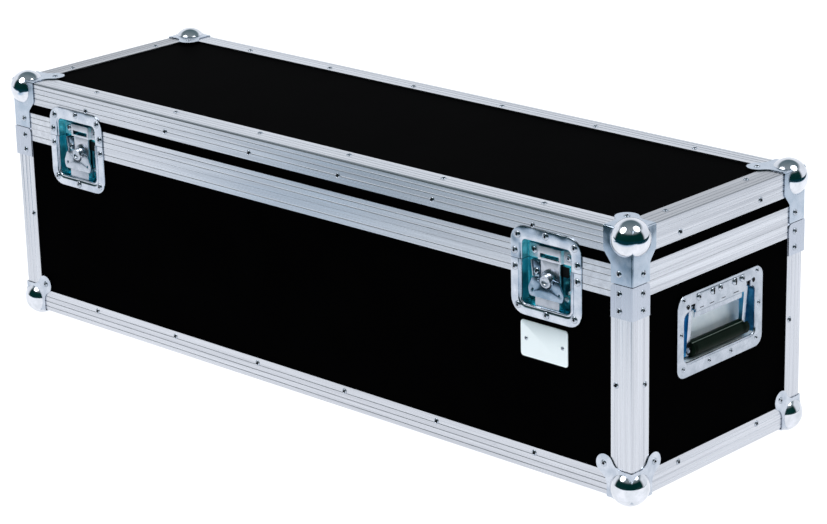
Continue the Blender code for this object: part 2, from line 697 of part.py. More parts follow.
def keeper_dish():
    """Upper half of the dish, in the lid, with the slotted keeper bridge riveted to its floor."""
    bottom = POST_DROP + SEAM_GAP
    dish = dish_half(bottom, POST_DROP + LATCH_ABOVE_SEAM, bottom, POST_DROP + DISH_ABOVE_SEAM,
                     (0, 0), (LATCH_CORNER, DISH_CORNER), open_low=True)
    floor = DISH_DEPTH + EMBED
    foot = DISH_DEPTH - BRIDGE_WALL
    slope_end = BRIDGE_HALF_WIDTH + BRIDGE_SLOPE
    inner = BRIDGE_HALF_WIDTH - BRIDGE_WALL
    half = [(BRIDGE_HALF_WIDTH, BRIDGE_DEPTH), (slope_end, foot), (BRIDGE_FOOT, foot),
            (BRIDGE_FOOT, floor), (inner + BRIDGE_SLOPE, floor), (inner, BRIDGE_DEPTH + BRIDGE_WALL)]
    strap = half + [(-a, b) for a, b in reversed(half)]
    bridge = prism(strap, POST_DROP + BRIDGE_LOW, POST_DROP + BRIDGE_HIGH, "XY")
    window = block((-WINDOW_HALF_WIDTH, WINDOW_HALF_WIDTH), (0, HOOK_DEPTH),
                   (POST_DROP + WINDOW_LOW, POST_DROP + WINDOW_HIGH))
    return join(dish, cut(bridge, window))


def hook_plate():
    """Draw plate that reaches up behind the keeper bridge, with the slot that its eccentric drives."""
    top = POST_DROP + HOOK_ABOVE_SEAM
    waist = -ECCENTRIC_THROW
    bottom = POST_DROP - HOOK_BELOW_SEAM
    outline = rounded([(-HOOK_TAIL_HALF_WIDTH, bottom, DISH_CORNER / 2),
                       (HOOK_TAIL_HALF_WIDTH, bottom, DISH_CORNER / 2), (HOOK_HALF_WIDTH, waist, 0),
                       (HOOK_HALF_WIDTH, top, DISH_CORNER / 2), (-HOOK_HALF_WIDTH, top, DISH_CORNER / 2),
                       (-HOOK_HALF_WIDTH, waist, 0)])
    plate = prism(outline, HOOK_DEPTH, HOOK_DEPTH + HOOK_WALL, "XZ")
    slot_half_height = ECCENTRIC_RADIUS + ECCENTRIC_THROW * DRAW_DEVIATION + HOOK_CLEARANCE
    slot_half_width = ECCENTRIC_RADIUS + ECCENTRIC_THROW + HOOK_CLEARANCE
    radius = slot_half_height - EMBED / 2
    slot = rectangle(-slot_half_width, slot_half_width, waist - slot_half_height,
                     waist + slot_half_height, radius, radius)
    return cut(plate, prism(slot, 0, DISH_DEPTH, "XZ"))


def turning_post():
    """Post with its boss, the collar over the hook plate, the eccentric in its slot, and a foot."""
    hook_back = HOOK_DEPTH + HOOK_WALL
    collar_back = HOOK_DEPTH - HOOK_CLEARANCE
    collar_front = collar_back - COLLAR_WALL
    post = cylinder(BOSS_RADIUS, -BOSS_PROUD, collar_front + EMBED, "Y")
    join(post, cylinder(COLLAR_RADIUS, collar_front, collar_back, "Y"),
         cylinder(ECCENTRIC_RADIUS, collar_back - EMBED, hook_back, "Y", (0, -ECCENTRIC_THROW)),
         cylinder(POST_FOOT_RADIUS, hook_back - EMBED, DISH_DEPTH - SEAT_GAP, "Y", segments=12))
    bore = cylinder(WING_PIN_RADIUS + WING_PIN_CLEARANCE, -EDGE_LEG, EDGE_LEG, "X",
                    (WING_PIN_DEPTH, 0), 12)
    return cut(post, bore)


def wing():
    """Folding wing: a plate with two ears round the boss, and the pin through it."""
    ear_inner = BOSS_RADIUS + 2 * WING_PIN_CLEARANCE
    ear_outer = ear_inner + WING_EAR_WIDTH
    half = [(ear_inner, -WING_NOTCH, WING_EAR_WIDTH), (ear_inner, WING_EAR_TOP, 0),
            (ear_outer, WING_EAR_TOP, 0), (ear_outer, -WING_EAR_TOP, 0),
            (WING_HALF_WIDTH, -WING_SHOULDER, WING_CORNER),
            (WING_TIP_HALF_WIDTH, -WING_REACH, WING_CORNER)]
    outline = rounded(half + [(-a, b, radius) for a, b, radius in reversed(half)])
    plate = prism(outline, -WING_PROUD, WING_WALL - WING_PROUD, "XZ")
    for side in (-1, 1):
        low, high = sorted((side * (ear_inner + WING_PIN_CLEARANCE), side * (ear_outer - WING_PIN_CLEARANCE)))
        join(plate, cylinder(WING_KNUCKLE_RADIUS, low, high, "X", (WING_PIN_DEPTH, 0), 12))
        hole = cylinder(WING_HOLE_RADIUS, -EDGE_LEG, EDGE_LEG, "Y",
                        (side * WING_HOLE_X, -WING_SHOULDER - WING_HOLE_RADIUS), 10)
        cut(plate, hole)
    pin_end = ear_outer - WING_EAR_WIDTH / 3
    return join(plate, cylinder(WING_PIN_RADIUS, -pin_end, pin_end, "X", (WING_PIN_DEPTH, 0), 12))


def build_latches(materials, lid):
    """Place a latch on each side of the front, its keeper on the lid."""
    sources = {"dish": base_dish(), "keeper": keeper_dish(), "hook": hook_plate(),
               "post": turning_post(), "wing": wing()}
    for side, sign in LATCH_SIDES.items():
        place = Vector((sign * LATCH_X, -HALF_WIDTH, SEAM - POST_DROP))
        latch = place_empty(f"latch_{side}_axis", place)
        fold = place_empty(f"latch_{side}_fold_axis", (0, WING_PIN_DEPTH, 0), latch)
        for part, source in sources.items():
            piece = mirrored(source, f"latch_{side}_{part}", (1, 1, 1))
            finish(piece, materials["zinc"])
            if part == "keeper":
                piece.data.transform(Matrix.Translation(place - lid.location))
                piece.parent = lid
            elif part == "wing":
                piece.data.transform(Matrix.Translation((0, -WING_PIN_DEPTH, 0)))
                piece.parent = fold
            else:
                piece.parent = latch
    for source in sources.values():
        bpy.data.objects.remove(source, do_unlink=True)


# Handle, modelled about the dish's middle: X out of the case's end, Y across it, and Z up

def handle_dish():
    """Recessed dish with a flange, a bracket over the bail's rod and a slot for each arm."""
    half = HANDLE_WIDTH / 2
    tall = HANDLE_TALL / 2
    flange = prism(rectangle(-half, half, -tall, tall, HANDLE_CORNER, HANDLE_CORNER),
                   SEAT_GAP, SHEET_OUTER, "YZ")
    inner = HANDLE_DISH_HALF_WIDTH
    radius = HANDLE_DISH_CORNER + SHEET
    tray = prism(rectangle(-inner - SHEET, inner + SHEET, -HANDLE_DISH_LOW - SHEET,
                           HANDLE_DISH_HIGH + SHEET, radius, radius),
                 -HANDLE_DISH_DEPTH - SHEET, SEAT_GAP + EMBED, "YZ")
    hollow = prism(rectangle(-inner, inner, -HANDLE_DISH_LOW, HANDLE_DISH_HIGH,
                             HANDLE_DISH_CORNER, HANDLE_DISH_CORNER),
                   -HANDLE_DISH_DEPTH, -SEAT_GAP, "YZ")
    mouth = prism(rectangle(-inner, inner, -HANDLE_DISH_LOW, HANDLE_MOUTH_HIGH, HANDLE_DISH_CORNER, 0),
                  -HANDLE_DISH_DEPTH / 2, EDGE_LEG, "YZ")
    dish = cut(join(flange, tray), hollow, mouth)
    slot_inner = BAIL_ARM_INNER - ARM_SLOT_CLEARANCE
    slot_outer = BAIL_ARM_INNER + BAIL_ARM_WIDTH + ARM_SLOT_CLEARANCE
    for side in (-1, 1):
        across = sorted((side * slot_inner, side * slot_outer))
        cut(dish, block((-HANDLE_DISH_DEPTH / 2, EDGE_LEG), across,
                        (HANDLE_MOUTH_HIGH - EDGE_RADIUS, HANDLE_DISH_HIGH)))
    low = HANDLE_MOUTH_HIGH - BRACKET_OVERHANG
    bracket = prism(rectangle(-BRACKET_HALF_WIDTH, BRACKET_HALF_WIDTH, low, BRACKET_HIGH,
                              0, EDGE_RADIUS), SHEET_OUTER - EMBED, SHEET_OUTER + BRACKET_WALL, "YZ")
    return join(dish, bracket)


def tapered_arm(upper, upper_radius, lower, lower_radius):
    """Outline of a bail arm: two round ends with straight sides between them."""
    down = atan2(lower[1] - upper[1], lower[0] - upper[0])
    return (arc(lower, lower_radius, down - pi / 2, down + pi / 2, 2 * ROUND)
            + arc(upper, upper_radius, down + pi / 2, down + 3 * pi / 2, 2 * ROUND))


def handle_bail():
    """Steel bail: the rod under the bracket, two arms, and the core of the grip."""
    pivot = (-BAIL_PIVOT_DEPTH, BAIL_PIVOT_HEIGHT)
    foot = (-GRIP_DEPTH, BAIL_PIVOT_HEIGHT - GRIP_DROP)
    end = BAIL_ARM_INNER + BAIL_ARM_WIDTH / 2
    bail = cylinder(BAIL_ROD_RADIUS, -end, end, "Y", pivot, 16)
    join(bail, cylinder(GRIP_CORE_RADIUS, -end, end, "Y", foot, 16))
    arm = tapered_arm(pivot, BAIL_EYE_RADIUS, foot, BAIL_FOOT_RADIUS)
    for side in (-1, 1):
        levels = sorted((side * BAIL_ARM_INNER, side * (BAIL_ARM_INNER + BAIL_ARM_WIDTH)))
        join(bail, prism(arm, *levels, "XZ"))
    return bail


def handle_grip():
    """Rubber sleeve on the bail's lower bar, with chamfered ends that lap the fronts of the arms."""
    half = BAIL_ARM_INNER + BAIL_ARM_WIDTH + SEAT_GAP
    centre = (-GRIP_DEPTH, BAIL_PIVOT_HEIGHT - GRIP_DROP)
    grip = cylinder(GRIP_RADIUS, -half, half, "Y", centre)
    bevel = grip.modifiers.new("ends", "BEVEL")
    bevel.width = GRIP_CHAMFER
    bevel.limit_method = "ANGLE"
    bevel.angle_limit = radians(60)
    far = EDGE_LEG * 2
    bore = cylinder(GRIP_CORE_RADIUS + SEAT_GAP, -far, far, "Y", centre, 16)
    cut(grip, bore)
    arm_front = GRIP_LAP - GRIP_DEPTH
    for side in (-1, 1):
        across = sorted((side * (BAIL_ARM_INNER - SEAT_GAP), side * far))
        cut(grip, block((-far, arm_front), across, (-far, 0)))
    return grip


def build_handles(materials):
    """Place a handle on each end of the base."""
    sources = {"dish": handle_dish(), "bail": handle_bail(), "grip": handle_grip()}
    pivot = Vector((-BAIL_PIVOT_DEPTH, 0, BAIL_PIVOT_HEIGHT))
    for end, sign in ENDS.items():
        place = (sign * HALF_LENGTH, 0, FRAME_BOTTOM + HANDLE_HEIGHT)
        handle = place_empty(f"handle_{end}", place, turn=0 if sign > 0 else pi)
        axis = place_empty(f"handle_{end}_axis", pivot, handle)
        for part, source in sources.items():
            piece = mirrored(source, f"handle_{end}_{part}", (1, 1, 1))
            finish(piece, materials["rubber" if part == "grip" else "plated"])
            if part == "dish":
                piece.parent = handle
            else:
                piece.data.transform(Matrix.Translation(-pivot))
                piece.parent = axis
    for source in sources.values():
        bpy.data.objects.remove(source, do_unlink=True)


# Back hinge, modelled about its pin: X along the case, Y away from its back, and Z up

def knuckle_spans():
    """Give the spans of the base leaf's three knuckles and the lid leaf's two along the pin."""
    pitch = HINGE_WIDTH / 5
    edges = [-HINGE_WIDTH / 2 + pitch * step for step in range(6)]
    spans = [(low + KNUCKLE_GAP / 2, high - KNUCKLE_GAP / 2) for low, high in zip(edges, edges[1:])]
    return spans[0::2], spans[1::2]


def hinge_leaf(up, length, own, others, others_start):
    """One leaf: a plate on the case's back, and a knuckle with a web in each of its own spans.

    up is 1 for the lid's leaf and -1 for the base's. The plate keeps others_start clear of the pin
    beside the other leaf's knuckles.
    """
    half = HINGE_WIDTH / 2
    face = SEAT_GAP - HINGE_OFFSET
    outer = face + HINGE_LEAF_WALL
    low, high = sorted((up * HINGE_LEAF_START, up * length))
    rounds = (0, HINGE_LEAF_CORNER) if up > 0 else (HINGE_LEAF_CORNER, 0)
    leaf = prism(rectangle(-half, half, low, high, *rounds), face, outer, "XZ")
    for span in own:
        web = sorted((0, up * (HINGE_LEAF_START + EMBED)))
        join(leaf, block(span, (face, outer), web),
             block(span, (face, 0), sorted((0, up * KNUCKLE_RADIUS))),
             cylinder(KNUCKLE_RADIUS, *span, "X", segments=16))
    for span in others:
        if others_start < HINGE_LEAF_START:
            web = sorted((up * others_start, up * (HINGE_LEAF_START + EMBED)))
            join(leaf, block(span, (face, outer), web))
    return leaf


def base_leaf():
    """Leaf on the base, one with the hinge pin."""
    own, others = knuckle_spans()
    leaf = hinge_leaf(-1, HINGE_BASE_LEAF, own, others, HINGE_STOP_START)
    half = HINGE_WIDTH / 2
    return join(leaf, cylinder(HINGE_PIN_RADIUS, -half - EMBED, half + EMBED, "X", segments=12))


def lid_leaf():
    """Leaf on the lid, with the stop lugs that meet the base leaf when the lid is fully open."""
    others, own = knuckle_spans()
    leaf = hinge_leaf(1, HINGE_LID_LEAF, own, others, HINGE_LEAF_START)
    for span in own:
        join(leaf, block(span, ((HINGE_PIN_RADIUS + KNUCKLE_RADIUS) / 2, STOP_PROUD), (-STOP_LOW, STOP_HIGH)))
    half = HINGE_WIDTH
    return cut(leaf, cylinder(HINGE_PIN_RADIUS + HINGE_PIN_CLEARANCE, -half, half, "X", segments=12))


def build_hinges(materials, lid):
    """Place a hinge near each end of the back, its pin on the lid's axis."""
    sources = {"base_leaf": base_leaf(), "lid_leaf": lid_leaf()}
    for side, sign in ENDS.items():
        for part, source in sources.items():
            piece = mirrored(source, f"hinge_{side}_{part}", (1, 1, 1))
            finish(piece, materials["plated"])
            if part == "lid_leaf":
                piece.parent = lid
                piece.location = (sign * HINGE_X, 0, 0)
            else:
                piece.location = (sign * HINGE_X, *lid.location[1:])
    for source in sources.values():
        bpy.data.objects.remove(source, do_unlink=True)


def main():
    """Build the case."""
    clear_scene()
    materials = make_materials()
    lid = place_empty("lid_axis", (0, HALF_WIDTH + HINGE_OFFSET, SEAM))
    bpy.context.view_layer.update()
    build_rails(materials, lid)
    build_corners(materials, lid)
    build_panels(materials, lid)
    build_latches(materials, lid)
    build_handles(materials)
    build_hinges(materials, lid)


main()
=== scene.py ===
"""Accessory trunk: finishes, pressed hardware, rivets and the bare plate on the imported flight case.

Sizes are in millimetres, measured on the face that carries the piece: u to the right, v up and w
outwards. Case.frame() places them on the case, whose meshes are in metres.
"""
from __future__ import annotations

import logging
import random
from collections.abc import Iterable, Sequence
from dataclasses import dataclass
from enum import Enum
from math import atan2, cos, degrees, pi, radians, sin, sqrt

import bmesh
import bpy
from mathutils import Matrix, Vector

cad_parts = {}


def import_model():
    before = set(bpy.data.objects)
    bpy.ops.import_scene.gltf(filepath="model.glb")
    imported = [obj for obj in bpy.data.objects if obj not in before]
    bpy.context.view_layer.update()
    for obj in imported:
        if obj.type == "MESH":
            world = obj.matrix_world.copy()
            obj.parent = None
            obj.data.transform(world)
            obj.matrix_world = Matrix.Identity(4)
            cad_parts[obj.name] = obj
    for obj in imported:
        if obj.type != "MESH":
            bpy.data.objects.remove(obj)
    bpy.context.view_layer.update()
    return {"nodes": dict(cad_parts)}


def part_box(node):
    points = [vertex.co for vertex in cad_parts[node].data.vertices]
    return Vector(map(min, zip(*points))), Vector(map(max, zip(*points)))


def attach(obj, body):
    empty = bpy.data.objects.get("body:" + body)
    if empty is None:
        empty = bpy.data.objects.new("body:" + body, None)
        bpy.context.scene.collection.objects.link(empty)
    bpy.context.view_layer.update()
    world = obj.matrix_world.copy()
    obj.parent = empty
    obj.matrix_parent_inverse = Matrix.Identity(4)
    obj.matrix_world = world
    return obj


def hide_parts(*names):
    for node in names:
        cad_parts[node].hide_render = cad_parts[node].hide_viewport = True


Mesh = bmesh.types.BMesh
Socket = bpy.types.NodeSocket
Tree = bpy.types.NodeTree
Material = bpy.types.Material
Colour = tuple[float, float, float]
Corner = tuple[float, ...]

LOG = logging.getLogger("trunk")
MM = 0.001
SEAM_GAP = 0.3
LATCH_MIDDLE = 402.0
HINGE_MIDDLE = 340.0
SIDES = (-1, 1)
U, V, W = Vector((1, 0, 0)), Vector((0, 1, 0)), Vector((0, 0, 1))
HERE = Matrix.Identity(4)
ON_XZ = Matrix(((1, 0, 0), (0, 0, 1), (0, 1, 0))).to_4x4()
ON_YZ = Matrix(((0, 0, 1), (1, 0, 0), (0, 1, 0))).to_4x4()


# Places on the case

class Face(Enum):
    """A face of the case, as the directions of its u, v and w axes."""

    FRONT = ((1, 0, 0), (0, 0, 1), (0, -1, 0))
    BACK = ((-1, 0, 0), (0, 0, 1), (0, 1, 0))
    RIGHT = ((0, 1, 0), (0, 0, 1), (1, 0, 0))
    LEFT = ((0, -1, 0), (0, 0, 1), (-1, 0, 0))
    TOP = ((1, 0, 0), (0, 1, 0), (0, 0, 1))
    BOTTOM = ((1, 0, 0), (0, -1, 0), (0, 0, -1))


@dataclass(frozen=True)
class Case:
    """The case's box over its profiles, and the height of its seam above the box's bottom."""

    half_length: float
    half_width: float
    bottom: float
    height: float
    seam: float

    @classmethod
    def measured(cls) -> Case:
        """Read the case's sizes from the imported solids.

        Returns:
            The case.
        """
        low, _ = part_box("bottom_edge_front")
        _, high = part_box("lid_edge_back")
        lid_end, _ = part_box("lid_closing_back")
        return cls(high.x / MM, -low.y / MM, low.z / MM, (high.z - low.z) / MM,
                   (lid_end.z - low.z) / MM - SEAM_GAP)

    def frame(self, face: Face, u: float = 0, v: float = 0) -> Matrix:
        """Place a face's own axes at one of its points.

        Args:
            face: the face of the case.
            u: how far to the right of its middle.
            v: how far above the box's bottom, or towards the back on the top.

        Returns:
            The matrix from the face's own coordinates to the case's.
        """
        across, up, out = (Vector(axis) for axis in face.value)
        spot = out * (abs(out.x) * self.half_length + abs(out.y) * self.half_width) + across * u + up * v
        spot.z += self.bottom + (self.height if face is Face.TOP else 0)
        return shift(*spot) @ Matrix(face.value).transposed().to_4x4()


def shift(u: float = 0, v: float = 0, w: float = 0) -> Matrix:
    """Move by millimetres."""
    return Matrix.Translation((u * MM, v * MM, w * MM))


# Mesh helpers

def outward(bm: Mesh) -> Mesh:
    """Turn a closed mesh's faces outwards."""
    bmesh.ops.recalc_face_normals(bm, faces=bm.faces[:])
    return bm


def rim(bm: Mesh) -> list[bmesh.types.BMEdge]:
    """Find the open edges."""
    return [item for item in bm.edges if item.is_boundary]


def sharp(bm: Mesh, angle: float) -> list[bmesh.types.BMEdge]:
    """Find the edges that turn by more than an angle, in degrees."""
    return [item for item in bm.edges if item.calc_face_angle(0) > radians(angle)]


def soften(bm: Mesh, geom: list, radius: float, segments: int = 2, affect: str = "EDGES") -> None:
    """Round edges, or the corners of a flat blank where affect is VERTICES."""
    bmesh.ops.bevel(bm, geom=geom, affect=affect, offset=radius * MM, offset_type="OFFSET",
                    segments=segments, profile=0.5, material=-1)


def fill(bm: Mesh, edges: list, normal: Iterable[float] = (0, 0, 1)) -> None:
    """Fill flat loops of edges with triangles."""
    bmesh.ops.triangle_fill(bm, edges=edges, use_beauty=True, use_dissolve=False, normal=normal)


def walled(bm: Mesh, thickness: float) -> Mesh:
    """Give an open sheet its thickness."""
    bmesh.ops.solidify(bm, geom=bm.faces[:], thickness=thickness * MM)
    return outward(bm)


def cut(bm: Mesh, spot: Iterable[float], normal: Vector, keep: int = 0) -> None:
    """Cut along a plane: keep 1 leaves only what is before it, -1 only what is behind it, and 0 both."""
    bmesh.ops.bisect_plane(bm, geom=bm.verts[:] + bm.edges[:] + bm.faces[:], plane_co=Vector(spot) * MM,
                           plane_no=normal, clear_outer=keep < 0, clear_inner=keep > 0)


def rectangle(left: float, right: float, low: float, high: float, low_round: float = 0,
              high_round: float = 0) -> list[Corner]:
    """List a rectangle's corners anticlockwise, with the setbacks of its low and its high ones."""
    return [(left, low, low_round), (right, low, low_round), (right, high, high_round),
            (left, high, high_round)]


def blank(corners: Sequence[Corner], holes: Sequence[Corner] = (), segments: int = 6) -> Mesh:
    """Cut a flat blank: its corners are rounded by a vertex bevel, and its holes are left open.

    Args:
        corners: u and v of each corner, anticlockwise, and how far back its round starts, if it has one.
        holes: u, v and radius of each round hole.
        segments: how many parts each round has.

    Returns:
        A flat mesh at w = 0, in metres.
    """
    bm = bmesh.new()
    setbacks = [sum(corner[2:]) for corner in corners]
    points = [bm.verts.new((corner[0] * MM, corner[1] * MM, 0)) for corner in corners]
    bm.faces.new(points)
    for setback in sorted(set(setbacks) - {0}):
        chosen = [point for point, own in zip(points, setbacks) if own == setback]
        soften(bm, chosen, setback, segments, "VERTICES")
    if holes:
        bmesh.ops.delete(bm, geom=bm.faces[:], context="FACES_ONLY")
        for u, v, radius in holes:
            bmesh.ops.create_circle(bm, segments=16, radius=radius * MM, matrix=shift(u, v))
        fill(bm, bm.edges[:])
    return bm


def arc(u: float, v: float, radius: float, start: float, sweep: float, steps: int = 8) -> list[Corner]:
    """List the points of an arc about a centre, from an angle and by an angle, in degrees."""
    angles = [radians(start + sweep * step / steps) for step in range(steps + 1)]
    return [(u + radius * cos(angle), v + radius * sin(angle)) for angle in angles]


def thicken(bm: Mesh, low: float, high: float, edge: float = 0.25) -> Mesh:
    """Turn a blank into a plate with a softened outer edge.

    Args:
        bm: the flat blank.
        low: level of the plate's back.
        high: level of its face.
        edge: radius of the edge round its face.

    Returns:
        The same mesh, closed.
    """
    bmesh.ops.translate(bm, verts=bm.verts, vec=W * low * MM)
    lifted = bmesh.ops.extrude_face_region(bm, geom=bm.faces[:])["geom"]
    top = {item for item in lifted if isinstance(item, bmesh.types.BMVert)}
    bmesh.ops.translate(bm, verts=list(top), vec=W * (high - low) * MM)
    outward(bm)
    if edge > 0:
        soften(bm, [item for item in sharp(bm, 60) if set(item.verts) <= top], edge)
    return bm


def turned(profile: Sequence[Corner], steps: int = 24, dark_from: float = 0, closed: bool = False) -> Mesh:
    """Spin a profile about the w axis.

    Args:
        profile: radius and level of each point, from pole to pole.
        steps: how many facets go round.
        dark_from: faces nearer the axis than this get the piece's second material.
        closed: True joins the profile's last point to its first.

    Returns:
        The closed mesh.
    """
    bm = bmesh.new()
    points = [bm.verts.new((radius * MM, 0, level * MM)) for radius, level in profile]
    edges = [bm.edges.new(pair) for pair in zip(points, points[1:] + points[:closed])]
    bmesh.ops.spin(bm, geom=points + edges, cent=(0, 0, 0), axis=W, dvec=(0, 0, 0), angle=2 * pi,
                   steps=steps, use_merge=True, use_duplicate=False)
    bmesh.ops.remove_doubles(bm, verts=bm.verts, dist=1e-6)
    for item in outward(bm).faces:
        if item.calc_center_median().xy.length < dark_from * MM:
            item.material_index = 1
    return bm


def rod(radius: float, start: float, end: float, v: float, w: float, steps: int = 24,
        edge: float = 0.3) -> Mesh:
    """Turn a round bar that lies along u, with softened ends.

    Args:
        radius: the bar's radius.
        start: u of its first end.
        end: u of its last end.
        v: how high it lies.
        w: how far out it lies.
        steps: how many facets go round.
        edge: radius of the edge at each end.

    Returns:
        The closed mesh.
    """
    length = abs(end - start)
    bm = turned([(0, 0), (radius - edge, 0), (radius, edge), (radius, length - edge),
                 (radius - edge, length), (0, length)], steps)
    lay = (U * (end - start)).to_track_quat("Z", "Y").to_matrix().to_4x4()
    bmesh.ops.transform(bm, matrix=shift(start, v, w) @ lay, verts=bm.verts)
    return bm


@dataclass(frozen=True)
class Ring:
    """A rounded rectangle at a level of a pressed pan."""

    half: float
    low: float
    high: float
    radius: float
    level: float = 0

    def steps(self, *steps: tuple[float, float]) -> list[Ring]:
        """List the rings that lie outside this one, each by its distance and level."""
        return [Ring(self.half + by, self.low - by, self.high + by, max(self.radius + by, 0.4), level)
                for by, level in steps]


def pressed(rings: list[Ring]) -> Mesh:
    """Loft a pressing through rounded rectangles and close its two ends.

    Args:
        rings: the rectangles, in order.

    Returns:
        The closed mesh.
    """
    bm = bmesh.new()
    for ring in rings:
        corners = rectangle(-ring.half, ring.half, ring.low, ring.high, ring.radius, ring.radius)
        add(bm, blank(corners), shift(w=ring.level))
    caps = bm.faces[:]
    loops = [cap.edges[:] for cap in caps]
    bmesh.ops.delete(bm, geom=caps[1:-1], context="FACES_ONLY")
    for index, (before, after) in enumerate(zip(loops, loops[1:])):
        if rings[index].level == rings[index + 1].level:
            fill(bm, before + after)
        else:
            bmesh.ops.bridge_loops(bm, edges=before + after)
    return outward(bm)


def baked(bm: Mesh, name: str, place: Matrix = HERE) -> bpy.types.Mesh:
    """Turn a working mesh into a placed one and free it.

    Args:
        bm: the working mesh.
        name: the new mesh's name.
        place: where it goes; its faces stay outwards where this mirrors it.

    Returns:
        The placed mesh.
    """
    mesh = bpy.data.meshes.new(name)
    bm.to_mesh(mesh)
    bm.free()
    mesh.transform(place)
    if place.determinant() < 0:
        mesh.flip_normals()
    return mesh


def add(target: Mesh, part: Mesh, place: Matrix = HERE, material: int | None = None) -> None:
    """Move a mesh into another one and free it.

    Args:
        target: the mesh that takes it.
        part: the mesh to add.
        place: where it goes, in the target's frame.
        material: the target's material slot for it, or None to keep its own.
    """
    if material is not None:
        for item in part.faces:
            item.material_index = material
    carrier = baked(part, "carrier", place)
    target.from_mesh(carrier)
    bpy.data.meshes.remove(carrier)


def linked(name: str, data: bpy.types.ID) -> bpy.types.Object:
    """Make an object of some data and put it in the scene.

    Args:
        name: the object's name.
        data: its mesh, light or camera.

    Returns:
        The object.
    """
    item = bpy.data.objects.new(name, data)
    bpy.context.collection.objects.link(item)
    return item


# Finishes

def scaled(colour: Colour, by: float) -> Colour:
    """Make a colour lighter or darker."""
    return tuple(by * value for value in colour)


class Net:
    """A node tree being wired. A value given to it may be a number, a colour or another node's socket."""

    def __init__(self, tree: Tree) -> None:
        """Take the tree to wire."""
        self.tree = tree

    def feed(self, target: Socket, value: object) -> None:
        """Link a socket to an input, or set the input's own value.

        Args:
            target: the input.
            value: what goes in.
        """
        if isinstance(value, Socket):
            self.tree.links.new(value, target)
        else:
            target.default_value = value

    def node(self, kind: str, **settings: object) -> bpy.types.Node:
        """Add a node.

        Args:
            kind: Blender's name for the node's type, without ShaderNode before it.
            **settings: its own properties, and what feeds its inputs, with _ for each space.

        Returns:
            The node.
        """
        made = self.tree.nodes.new(f"ShaderNode{kind}")
        for label, value in settings.items():
            if hasattr(made, label):
                setattr(made, label, value)
            else:
                self.feed(made.inputs[label.replace("_", " ")], value)
        return made

    def shade(self, **values: object) -> None:
        """Feed the inputs of the material's shader, with _ for each space."""
        for label, value in values.items():
            self.feed(self.tree.nodes["Principled BSDF"].inputs[label.replace("_", " ")], value)

    def group(self, tree: Tree, **values: object) -> bpy.types.NodeOutputs:
        """Place a shared group, feed it and give its outputs."""
        return self.node("Group", node_tree=tree, **values).outputs

    def parts(self, vector: Socket) -> bpy.types.NodeOutputs:
        """Split a vector into X, Y and Z."""
        return self.node("SeparateXYZ", Vector=vector).outputs

    def math(self, operation: str, *values: object) -> Socket:
        """Work out a value from others.

        Args:
            operation: Blender's name for the sum.
            *values: what it takes, in order.

        Returns:
            The result's socket.
        """
        made = self.node("Math", operation=operation)
        for target, value in zip(made.inputs, values):
            self.feed(target, value)
        return made.outputs["Value"]

    def noise(self, vector: Socket, scale: object, detail: float, rough: float = 0.5) -> Socket:
        """Add a noise texture."""
        return self.node("TexNoise", Vector=vector, Scale=scale, Detail=detail,
                         Roughness=rough).outputs["Fac"]

    def ramp(self, value: Socket, low: Colour, high: Colour,
             span: tuple[float, float] = (0.3, 0.7)) -> Socket:
        """Turn a value into a colour between two colours.

        Args:
            value: the socket with the value.
            low: colour at the span's start.
            high: colour at its end.
            span: the values that the two colours stand at.

        Returns:
            The colour's socket.
        """
        made = self.node("ValToRGB", Fac=value)
        for stop, position, colour in zip(made.color_ramp.elements, span, (low, high)):
            stop.position = position
            stop.color = (*colour, 1)
        return made.outputs["Color"]

    def levels(self, value: Socket, low: float, high: float, span: Sequence[object] = (0.3, 0.7)) -> Socket:
        """Turn a value into a number between low and high, over a span of the value."""
        return self.node("MapRange", Value=value, From_Min=span[0], From_Max=span[1], To_Min=low,
                         To_Max=high).outputs["Result"]

    def blend(self, factor: Socket, first: Socket, second: Colour | Socket) -> Socket:
        """Mix two colours by a mask.

        Args:
            factor: the mask.
            first: the colour where it is 0.
            second: the colour where it is 1.

        Returns:
            The mixed colour.
        """
        made = self.node("Mix", data_type="RGBA", Factor=factor)
        self.feed(made.inputs[6], first)
        self.feed(made.inputs[7], (*second, 1) if isinstance(second, tuple) else second)
        return made.outputs[2]

    def bump(self, height: Socket, strength: float, distance: float, **under: Socket) -> Socket:
        """Turn a height into a normal, over another Normal where one is given."""
        return self.node("Bump", Height=height, Strength=strength, Distance=distance * MM,
                         **under).outputs["Normal"]


